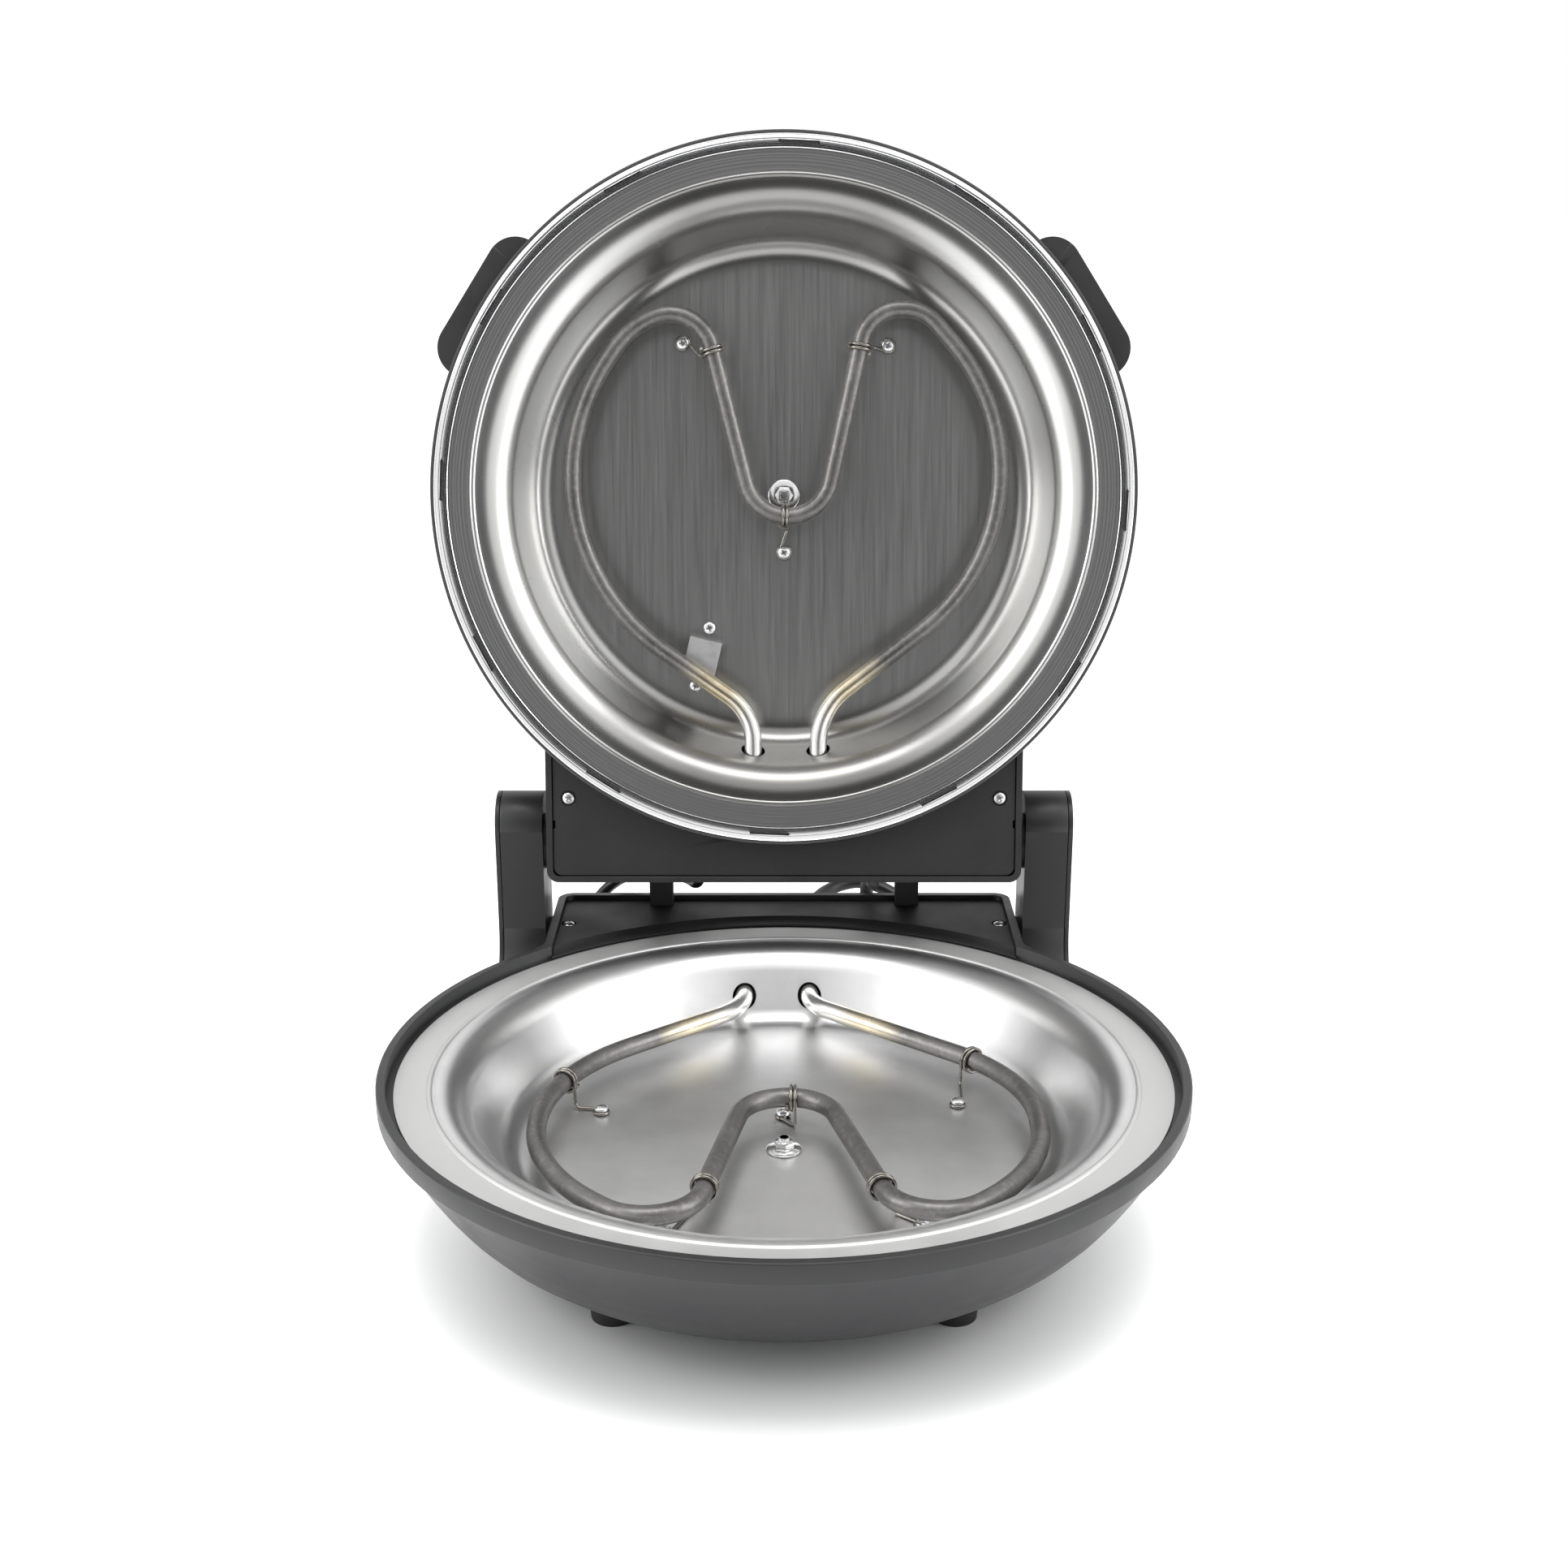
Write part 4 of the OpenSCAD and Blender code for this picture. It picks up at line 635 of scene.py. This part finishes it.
WIRE = plated("clip_wire", (0.24, 0.225, 0.205), 0.22, 0.75)
TAB = plated("satin_tab", (0.62, 0.62, 0.62), 0.40, 0.85)
SCREW = plated("plated_screw", (0.74, 0.74, 0.75), 0.24, 0.70)
NUT = plated("bright_nut", (0.84, 0.84, 0.84), 0.14, 0.85)
BODY = plated("thermostat_steel", (0.62, 0.62, 0.62), 0.30, 0.80)
print("metal:", LOWER.name, UPPER.name, RING.name, TUBE.name, WIRE.name, SCREW.name)

# %% [markdown]
# The mains cord is a round black sheath along its route. Where it leaves the rear box a ribbed
# rubber sleeve keeps it from being bent sharply, so it is thick at the box and thins outwards.

# %% Mains cord and strain relief
bm = bmesh.new()
bent_tube(bm, route, CORD / 2, sides=16)
mains = piece("mains_cord_sheath", bm, "base", SHEATH, ("mains_cord", "cord_coil"),
              place=Matrix.Identity(4))


def ribbed_sleeve(path, start, end, ribs):
    """A tapered sleeve on a path, with a groove between one rib and the next."""
    bm = bmesh.new()
    rings, whole = [], sum((b - a).length for a, b in zip(path, path[1:]))
    run = 0.0
    for i, frame_here in enumerate(ring_frames(path)):
        run += (path[i] - path[i - 1]).length if i else 0.0
        share = run / whole
        groove = 0.82 if 0.12 < share < 0.9 and math.sin(share * ribs * 2 * math.pi) < -0.3 else 1
        radius = (start + (end - start) * share) * groove
        ring = bmesh.ops.create_circle(bm, segments=32, radius=radius * MM, matrix=frame_here)
        rings.append(ring["verts"])
    skin(bm, rings)
    return bm


relief_path = smooth_route([TO_AXIS @ (Vector((16, y, 60)) * MM) for y in (201, 206, 212)], 8)
relief_path += [p for p in route[1:] if (p - route[0]).length < 0.016]
relief_path = smooth_route(relief_path, 3)
relief = piece("strain_relief", ribbed_sleeve(relief_path, 6.9, 4.1, 7), "base",
               RUBBER, place=Matrix.Identity(4), sharp=30)

# %% [markdown]
# A reflector is one pressed sheet: a flat flange with a raised bead, a wall that bends down
# through a wide radius, and a flat floor. The profile is drawn as its upper line, copied one
# sheet thickness lower, and spun. Holes are cut afterwards for the tube's ends and the screws.

# %% Reflector profile
SHEET = 1.2
DEPTH, FLANGE_R = 33, 165.4
TOP_BEND, FLOOR_BEND = 19, 12
TUBE_OFF = 12.3


def dish_outline(edge, bead_r, floor_r):
    """The closed outline of a reflector, its flange at zero height."""
    width = bead_r - 1.3 - floor_r
    bends = TOP_BEND + FLOOR_BEND
    slope = math.degrees(math.atan2(DEPTH - bends, width)
                         + math.asin(bends / math.hypot(width, DEPTH - bends)))
    bead = [(bead_r + 1.3 * math.cos(math.radians(t)), 0.35 * (1 - math.cos(math.radians(2 * t))))
            for t in range(0, 181, 20)]
    line = ([(edge, 0), (bead_r + 1.6, 0)] + bead
            + arc((bead_r - 1.3, -TOP_BEND), TOP_BEND, 88, 90 + slope, 18)
            + arc((floor_r, FLOOR_BEND - DEPTH), FLOOR_BEND, 270 + slope, 270, 14)
            + [(104, -DEPTH), (60, -DEPTH), (0, -DEPTH)])
    return line + [(r, z - SHEET) for r, z in reversed(line)]


def drill(points, radius, low, high, steps=32):
    """Upright cutters at points in mm."""
    bm = bmesh.new()
    for x, y in points:
        bmesh.ops.create_cone(bm, cap_ends=True, segments=steps, radius1=radius * MM,
                              radius2=radius * MM, depth=(high - low) * MM,
                              matrix=Matrix.Translation((x * MM, y * MM, (low + high) / 2 * MM)))
    return loose_object("cutter", bm)


def tube_holes(shift, height):
    """Two level cutters through the wall, where the heating tube's ends go out."""
    bm = bmesh.new()
    for x in (-16 + shift, 16 + shift):
        bmesh.ops.create_cone(bm, cap_ends=True, segments=40, radius1=5.8 * MM, radius2=5.8 * MM,
                              depth=44 * MM,
                              matrix=Matrix.Translation((x * MM, 127 * MM, height * MM))
                              @ Matrix.Rotation(math.radians(90), 4, "X"))
    return loose_object("cutter", bm)


LOWER_SCREWS = [(-81.3, 22.2), (77.9, 29.5), (-47.4, -84.8), (55.1, -79.7), (-0.4, 18.2)]
UPPER_SCREWS = [(-49.2, -73.1), (50.4, -71.9), (0, 27.9)]
TAB_AT, TAB_TURN = (-40.4, 79.4), math.radians(13.6)
TAB_SCREWS = [(TAB_AT[0] - s * 14.9 * math.sin(TAB_TURN),
               TAB_AT[1] + s * 14.9 * math.cos(TAB_TURN)) for s in (-1, 1)]
LOWER_SHIFT, UPPER_SHIFT = -3.5, 0.8

bm = turned(dish_outline(FLANGE_R, 150.7, 113))
bmesh.ops.translate(bm, verts=bm.verts, vec=(0, 0, FLANGE))
piece("base_reflector_sheet", bm, "base", LOWER, ("base_reflector",),
      cutters=(tube_holes(LOWER_SHIFT, 35 + TUBE_OFF), drill(LOWER_SCREWS, 1.9, 30, 40),
               drill([(0, -13)], 2.6, 30, 40)))

# %% [markdown]
# The upper reflector is the same pressing turned over. Round it runs a bright ring, stepped like
# a picture frame, with twelve short slits that let steam out.

# %% Upper reflector and ring
bm = turned(dish_outline(FLANGE_R, 148, 112.2))
bmesh.ops.scale(bm, vec=(1, 1, -1), verts=bm.verts)
bmesh.ops.translate(bm, verts=bm.verts, vec=(0, 0, LID_FLANGE))
bmesh.ops.reverse_faces(bm, faces=bm.faces)
top_floor = 73.5 + DEPTH
piece("lid_reflector_sheet", bm, "lid", UPPER, ("lid_reflector",),
      cutters=(tube_holes(UPPER_SHIFT, top_floor - TUBE_OFF),
               drill(UPPER_SCREWS + TAB_SCREWS, 1.8, top_floor - 3, top_floor + 4),
               drill([(0, 0)], 2.6, top_floor - 3, top_floor + 4)))

R, TOP, LOW = 166.1, 73.4, 70.7
ring_line = [(R - 6.6, TOP), (R - 6.5, TOP - 0.9), (R - 6.2, TOP - 1.2), (R - 5.8, TOP - 1.3),
             (R - 3.0, TOP - 1.75), (R - 2.7, TOP - 1.9), (R - 2.45, TOP - 1.75),
             (R - 2.1, TOP - 1.85), (R - 1.3, TOP - 2.15), (R - 1.0, TOP - 2.3),
             (R - 0.85, TOP - 2.15), (R - 0.7, LOW + 0.2), (R - 0.4, LOW), (R - 0.1, LOW + 0.05),
             (R, LOW + 0.25), (R, TOP + 4), (R - 0.6, TOP + 4), (R - 0.6, LOW + 1.3),
             (R - 1.6, TOP - 1.0), (R - 4.8, TOP - 0.9), (R - 5.6, TOP - 0.5), (R - 5.7, TOP)]
bm_slits = bmesh.new()
for i in range(12):
    turn = math.radians(30 * i + 2.5)
    bmesh.ops.create_cube(bm_slits, size=1, matrix=Matrix.Rotation(turn, 4, "Z")
                          @ Matrix.Translation(((R - 3.5) * MM, 0, (LOW - 0.5) * MM))
                          @ Matrix.Diagonal((0.9 * MM, 19 * MM, 5 * MM, 1)))
slits = loose_object("cutter", bm_slits)
piece("lid_rim_ring", turned(ring_line, 288), "lid", RING, ("lid_ring",), cutters=(slits,),
      sharp=28)

# %% [markdown]
# The lid's skin is a painted dome: a short upright edge, a round shoulder and a nearly flat
# crown. The lower bowl has the same kind of section, a little fuller at the shoulder, but it is
# not drawn here: it keeps the frame's own shape and gets its finish further down.

# %% Dome
LID_R, EDGE_Z, DOME_T = 167.4, 70.2, 1.2
SHOULDER_R, SHOULDER_DEG = 58, 80
SHOULDER_X, SHOULDER_Z = LID_R - SHOULDER_R, EDGE_Z + 7
crown_drop = SHOULDER_X / math.cos(math.radians(SHOULDER_DEG))
CROWN_R = crown_drop + SHOULDER_R
CROWN_Z = SHOULDER_Z - crown_drop * math.sin(math.radians(SHOULDER_DEG))


def dome_line(inset):
    """The dome's section from its edge to its middle, a little inside its skin."""
    shoulder = arc((SHOULDER_X, SHOULDER_Z), SHOULDER_R - inset, 0, SHOULDER_DEG, 24)
    crown = arc((0, CROWN_Z), CROWN_R - inset, SHOULDER_DEG, 90, 10)[1:]
    return [(LID_R - inset, EDGE_Z)] + shoulder + crown


dome_outline = dome_line(0) + list(reversed(dome_line(DOME_T)))
dome_outline[0:1] = [(LID_R - 0.3, EDGE_Z), (LID_R, EDGE_Z + 0.3)]
piece("lid_dome", turned(dome_outline), "lid", DOME, ("lid_shell",),
      cutters=(drill([TAB_AT, (-6, 92)], 4, 110, 160), drill([(0, 0)], 2.6, 130, 150)))

# %% [markdown]
# A heating tube is a steel tube bent on a round former, so its outline is straight lines and
# arcs. The outline is written as corners with a bend radius, and turned into a path. Near the
# terminals the tube stays bright, then straw coloured, and further in it is burnt brown-grey.

# %% Heating tubes
def bent_outline(corners, height, step=4):
    """A path of (x, y) corners with bend radii, as points in metres."""
    path = [Vector(corners[0][:2])]
    for before, here, after in zip(corners, corners[1:], corners[2:]):
        corner, radius = Vector(here[:2]), here[2]
        u, v = [(Vector(p[:2]) - corner).normalized() for p in (before, after)]
        half = u.angle(v) / 2
        centre = corner + (u + v).normalized() * radius / math.sin(half)
        start = corner + u * radius / math.tan(half) - centre
        end = corner + v * radius / math.tan(half) - centre
        turn = start.angle_signed(end) * -1
        count = max(2, math.ceil(abs(math.degrees(turn)) / step))
        for k in range(count + 1):
            a = turn * k / count
            path.append(centre + Vector((start.x * math.cos(a) - start.y * math.sin(a),
                                         start.x * math.sin(a) + start.y * math.cos(a))))
    path.append(Vector(corners[-1][:2]))
    dense = [path[0]]
    for a, b in zip(path, path[1:]):
        count = max(1, math.ceil((b - a).length / 8))
        dense += [a.lerp(b, k / count) for k in range(1, count + 1)]
    return [Vector((p.x, p.y, height)) * MM for p in dense]


LOWER_BENDS = [(-19.5, 166, 0), (-19.5, 111.2, 33.9), (-107.8, 34.8, 98.8), (-103.4, -57.3, 98),
               (-39.9, -111.7, 22.8), (-2, 90.4, 21.6), (49.5, -107.6, 23.2),
               (107.9, -53.9, 92.1), (110.4, 31.7, 83.3), (12.5, 115.6, 24.5), (12.5, 166, 0)]
UPPER_BENDS = [(-15.2, 152, 0), (-15.2, 106.1, 27.3), (-144.5, 15.5, 101.2), (-74.1, -79.4, 38),
               (-40.8, -94.3, 20.5), (3.5, 81.2, 21.1), (40.5, -88.6, 19), (67.2, -88.4, 20.9),
               (148.4, 2.8, 95.3), (16.8, 104.8, 35), (16.8, 152, 0)]
TUBE_R, UPPER_TINT_LEAD = 4.25, 0.022
lower_tube_z, upper_tube_z = 35 + TUBE_OFF, top_floor - TUBE_OFF
lower_path = bent_outline(LOWER_BENDS, lower_tube_z)
upper_path = bent_outline(UPPER_BENDS, upper_tube_z)
for name, path, body, node, lead in (
        ("lower_heating_tube", lower_path, "base", "lower_element", 0.0),
        ("upper_heating_tube", upper_path, "lid", "upper_element", UPPER_TINT_LEAD)):
    bm = bmesh.new()
    length = bent_tube(bm, path, TUBE_R * MM, sides=28, lead=lead)
    piece(name, bm, body, TUBE, (node,))
    print("tube length %.3f m" % length)

# %% [markdown]
# Springy wire clips hold each tube above its reflector. One clip is one bent wire: two loose
# turns round the tube, a leg down to the sheet, and an eye that a screw holds.

# %% Wire clips
LOWER_HOLDS = [((-97.63, 30.44), 246.8), ((86.11, 51.99), 133.8), ((-31.86, -68.81), 79.4),
               ((39.08, -67.53), 284.6), ((3.59, 12.94), 354.2)]
UPPER_HOLDS = [((-34.5, -69.34), 75.8), ((36.49, -70.18), 282.3), ((0.08, 10.03), 5.2)]
CROSSING_HOLD = LOWER_HOLDS[4]


def clip_path(hold, screw, height, down):
    """The wire's middle line in mm. down is -1 where the sheet lies below the tube, else 1."""
    (x, y), heading = hold
    a = math.radians(heading)
    along, sink = Vector((math.cos(a), math.sin(a), 0)), Vector((0, 0, down))
    tube, eye = Vector((x, y, height)), Vector((*screw, height + down * (TUBE_OFF - 0.9)))
    side = along.cross((0, 0, 1))
    if (side.dot(eye - tube) < 0) != (hold == CROSSING_HOLD):
        side.negate()
    wire = [tube + along * (i / 20 - 1) * 1.85 + sink * 0.15
            + 5.35 * (math.cos(math.pi * i / 10) * side + math.sin(math.pi * i / 10) * sink)
            for i in range(1, 41)]
    foot = wire[-1].copy()
    base = Vector((foot.x, foot.y, eye.z))
    back = (base - eye).normalized()
    across = back.cross((0, 0, 1))
    wire += [foot + sink * 2, foot + sink * 5, base - sink * 2.4, base - back * 0.8 - sink * 0.7,
             base - back * 2.2]
    near = eye + 3 * (math.cos(0.6) * back + math.sin(0.6) * across)
    if (near - wire[-1]).length > 2:
        wire.append(wire[-1].lerp(near, 0.5))
    wire += [eye + 3 * (math.cos(t) * back + math.sin(t) * across)
             for t in (math.radians(35 + 20 * k) for k in range(16))]
    return wire


for name, holds, screws, height, down, body, node in (
        ("lower_wire_clips", LOWER_HOLDS, LOWER_SCREWS, lower_tube_z, -1, "base", "lower_clips"),
        ("upper_wire_clips", UPPER_HOLDS, UPPER_SCREWS, upper_tube_z, 1, "lid", "upper_clips")):
    bm = bmesh.new()
    for hold, screw in zip(holds, screws):
        wire = smooth_route(clip_path(hold, screw, height, down), 3)
        bent_tube(bm, [p * MM for p in wire], 0.8 * MM, sides=12)
    piece(name, bm, body, WIRE, (node,))

# %% [markdown]
# Screws, nuts and washers are small but bright, so they catch the eye. A screw head is a low
# dome with a pressed cross. A nut is a hexagon whose corners are turned off, on a round washer,
# with the threaded end of the bolt standing out of it.

# %% Screws, nuts and bolt ends
def standing(at, axis, turn=0.0):
    """A matrix that stands a small part at a point in mm, its top towards an axis."""
    up = Vector(axis).normalized()
    return (Matrix.Translation(Vector(at) * MM) @ up.to_track_quat("Z", "Y").to_matrix().to_4x4()
            @ Matrix.Rotation(turn, 4, "Z"))


def small_lathe(outline, steps=32):
    """An open outline of (radius, height) in mm, spun about its own axis."""
    bm = bmesh.new()
    points = [bm.verts.new((r * MM, 0, z * MM)) for r, z in outline]
    lines = [bm.edges.new(pair) for pair in zip(points, points[1:])]
    bmesh.ops.spin(bm, geom=points + lines, cent=(0, 0, 0), axis=(0, 0, 1),
                   angle=2 * math.pi, steps=steps, use_merge=True)
    bmesh.ops.remove_doubles(bm, verts=bm.verts, dist=1e-6)
    bmesh.ops.recalc_face_normals(bm, faces=bm.faces)
    return bm


def screw_mesh(head, shank, length):
    """One domed screw with a cross recess, seat at zero."""
    dome_part = [(head * math.cos(math.radians(t)),
                  head * 0.28 + head * 0.42 * math.sin(math.radians(t)))
                 for t in range(0, 91, 15)]
    dome_part[-1] = (0, head * 0.70)
    outline = [(0, -length), (shank, -length), (shank, 0), (head * 0.94, 0), (head, head * 0.06)]
    body = loose_object("screw", small_lathe(outline + dome_part, 36))
    for turn in (0, 90):
        bm = bmesh.new()
        bmesh.ops.create_cube(bm, size=1, matrix=Matrix.Rotation(math.radians(turn), 4, "Z")
                              @ Matrix.Translation((0, 0, head * 0.78 * MM))
                              @ Matrix.Diagonal((head * 1.05 * MM, head * 0.2 * MM,
                                                 head * 0.62 * MM, 1)))
        cut(body, loose_object("bar", bm))
    mesh = body.data
    bpy.data.objects.remove(body)
    return mesh


def many(mesh, places):
    """One bmesh with a copy of a mesh at each place."""
    bm = bmesh.new()
    for matrix in places:
        start = len(bm.verts)
        bm.from_mesh(mesh)
        bm.verts.ensure_lookup_table()
        bmesh.ops.transform(bm, matrix=matrix, verts=bm.verts[start:])
    return bm


UP, DOWN = (0, 0, 1), (0, 0, -1)
floor_screw = screw_mesh(3.0, 1.85, 6)
tab_screw = screw_mesh(3.0, 1.65, 6)
cover_screw = screw_mesh(3.0, 1.7, 8)
turns = (0.3, 1.1, 0.6, 0.2, 0.9)
piece("lower_floor_screws", many(floor_screw, [standing((x, y, 36.8), UP, t)
      for (x, y), t in zip(LOWER_SCREWS, turns)]), "base", SCREW, ("lower_clip_screws",))
piece("upper_floor_screws", many(floor_screw, [standing((x, y, top_floor - 1.8), DOWN, t)
      for (x, y), t in zip(UPPER_SCREWS, turns)]), "lid", SCREW, ("upper_clip_screws",))
piece("tab_screw_pair", many(tab_screw, [standing((x, y, top_floor - 0.1), DOWN, t)
      for (x, y), t in zip(TAB_SCREWS, turns)]), "lid", SCREW, ("thermostat_screws",))
piece("cover_screw_pair", many(cover_screw, [standing((s * 109, 163, 71.2 - 1.35), UP, 0.4 * s)
      for s in (-1, 1)]), "base", SCREW, ("cover_screws",))
piece("panel_screw_pair", many(cover_screw, [standing((s * 105, 146, 78.8 + 0.85), DOWN, 0.5 * s)
      for s in (-1, 1)]), "lid", SCREW, ("panel_screws",))


def nut_mesh():
    """Washer and chamfered hexagon nut, seat at zero."""
    bm = small_lathe([(2.6, 0), (7.3, 0), (7.6, 0.2), (7.6, 0.8), (7.3, 1.0), (2.6, 1.0),
                      (2.6, 0)], 48)
    hexagon = bmesh.ops.create_cone(bm, cap_ends=True, segments=6, radius1=4.5 * MM,
                                    radius2=4.5 * MM, depth=3.6 * MM,
                                    matrix=Matrix.Translation((0, 0, 2.85 * MM)))
    ring_edges = [e for e in {e for v in hexagon["verts"] for e in v.link_edges}
                  if abs(e.verts[0].co.z - e.verts[1].co.z) < 1e-6]
    bmesh.ops.bevel(bm, geom=ring_edges, offset=0.55 * MM, segments=2, profile=0.5,
                    affect="EDGES", material=-1)
    mesh = bpy.data.meshes.new("nut")
    bm.to_mesh(mesh)
    bm.free()
    return mesh


def thread_mesh(low, high):
    """A bolt's shank with ridges like a thread at its end."""
    ridges = [(2.45 - 0.28 * (i % 2), high - 0.35 * i) for i in range(1, 17)]
    outline = [(0, low), (2.45, low)] + list(reversed(ridges)) + [(1.9, high), (0, high)]
    return small_lathe(outline, 28)


nut = nut_mesh()
piece("base_nut_washer", many(nut, [standing((0, -13, 35.1), UP, 0.2)]), "base", NUT,
      ("base_nut",))
piece("lid_nut_washer", many(nut, [standing((0, 0, top_floor - 0.1), DOWN, 0.5)]), "lid",
      NUT, ("lid_nut",))
thread = bpy.data.meshes.new("thread")
bm = thread_mesh(-6, 6.4)
bm.to_mesh(thread)
piece("base_bolt_end", many(thread, [standing((0, -13, 35.0), UP)]), "base", SCREW)
piece("lid_bolt_end", many(thread, [standing((0, 0, top_floor), DOWN)]), "lid", SCREW)

# %% [markdown]
# Two leads cross the hinge: a plain black one on the left and a grey sleeved one on the right.

# %% Link leads
LEADS = {
    "black_link_lead": (3.0, LEAD, "lead_black", "link_lead_left", [
        (-100, 202, 62), (-100, 206, 62), (-100, 211, 62), (-98, 216, 66), (-92, 217, 72),
        (-84, 214, 78), (-75, 209, 82), (-66, 205, 84), (-57, 202, 84), (-50, 197, 83),
        (-46, 191, 83), (-44, 186, 86), (-44, 184, 90), (-44, 184.3, 93.7)]),
    "grey_link_lead": (3.5, SLEEVE, "lead_grey", "link_lead_right", [
        (44, 202, 60), (44, 206, 60), (44, 211, 60), (44, 216, 63), (44, 218, 70), (45, 214, 78),
        (45, 206, 83), (46, 197, 83), (46, 190, 83), (46, 185.5, 86), (46, 184, 90),
        (46, 184.3, 93.7)])}
for name, (radius, material, slot, node, points) in LEADS.items():
    bm = bmesh.new()
    path = [TO_AXIS @ (p * MM) for p in smooth_route(points, 8)]
    length = bent_tube(bm, path, radius * MM, sides=20)
    lead = piece(name, bm, "base", material, (node,), place=Matrix.Identity(4),
                 crosses=True)
    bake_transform(lead)
    print("lead %.3f m" % length)

# %% [markdown]
# Many parts of the frame already have their final shape. What they lack is the small rounding
# that every moulded or pressed edge has, and a finish. Their triangles are merged by a Weld
# modifier, and a Bevel modifier rounds the edges without touching the stored mesh.

# %% Rounding and finishing the frame's own parts
def soften(node, material, width=0.0, segments=2, angle=32):
    """Give a frame part its finish, and small round edges."""
    obj = frame["nodes"][node]
    obj.data.materials.clear()
    obj.data.materials.append(material)
    if width:
        weld = obj.modifiers.new("weld", "WELD")
        weld.merge_threshold = 1e-5
        bevel = obj.modifiers.new("edges", "BEVEL")
        bevel.width = width * MM
        bevel.segments = segments
        bevel.limit_method = "ANGLE"
        bevel.angle_limit = math.radians(angle)
        bevel.harden_normals = False


rounded = {
    "base_rim": (SHELL, 0.5), "base_bowl": (BOWL, 0), "box_floor": (SHELL, 0.4),
    "base_rear_cover": (COVER, 0.4), "hinge_arm_left": (ARM, 0.9), "hinge_arm_right": (ARM, 0.9),
    "arm_cap_left": (ARM, 0.7), "arm_cap_right": (ARM, 0.7), "lid_rests": (RUBBER, 0.6),
    "lid_rear_box": (BOX, 0.6), "lid_rear_panel": (COVER, 0.4), "handle_left": (HANDLE, 1.0),
    "handle_right": (HANDLE, 1.0), "feet": (RUBBER, 0.4), "terminal_block": (CERAMIC, 0.4),
    "base_grommets": (RUBBER, 0.3), "lid_grommets": (RUBBER, 0.3), "cord_gland": (RUBBER, 0.3),
    "plug": (SHEATH, 0.8), "plug_pins": (NUT, 0.4), "lower_beads": (CERAMIC, 0.3),
    "upper_beads": (CERAMIC, 0.3), "thermostat": (BODY, 0.4), "thermostat_tab": (TAB, 0.15),
    "knob_dial": (KNOB, 0.3), "thermostat_knob": (KNOB, 0.6), "pilot_lamp": (LENS, 0.5),
    "hinge_bushes": (NYLON, 0.2), "hinge_pins": (SCREW, 0.2), "base_spacer": (SCREW, 0),
    "lid_spacer": (SCREW, 0), "base_bolt": (SCREW, 0.2), "lid_bolt": (SCREW, 0.2),
    "foot_screws": (SCREW, 0), "box_floor_screws": (SCREW, 0), "arm_screws": (SCREW, 0),
    "handle_screws": (SCREW, 0)}
for node, (material, width) in rounded.items():
    soften(node, material, width)
print("finished", len(rounded), "parts of the frame")
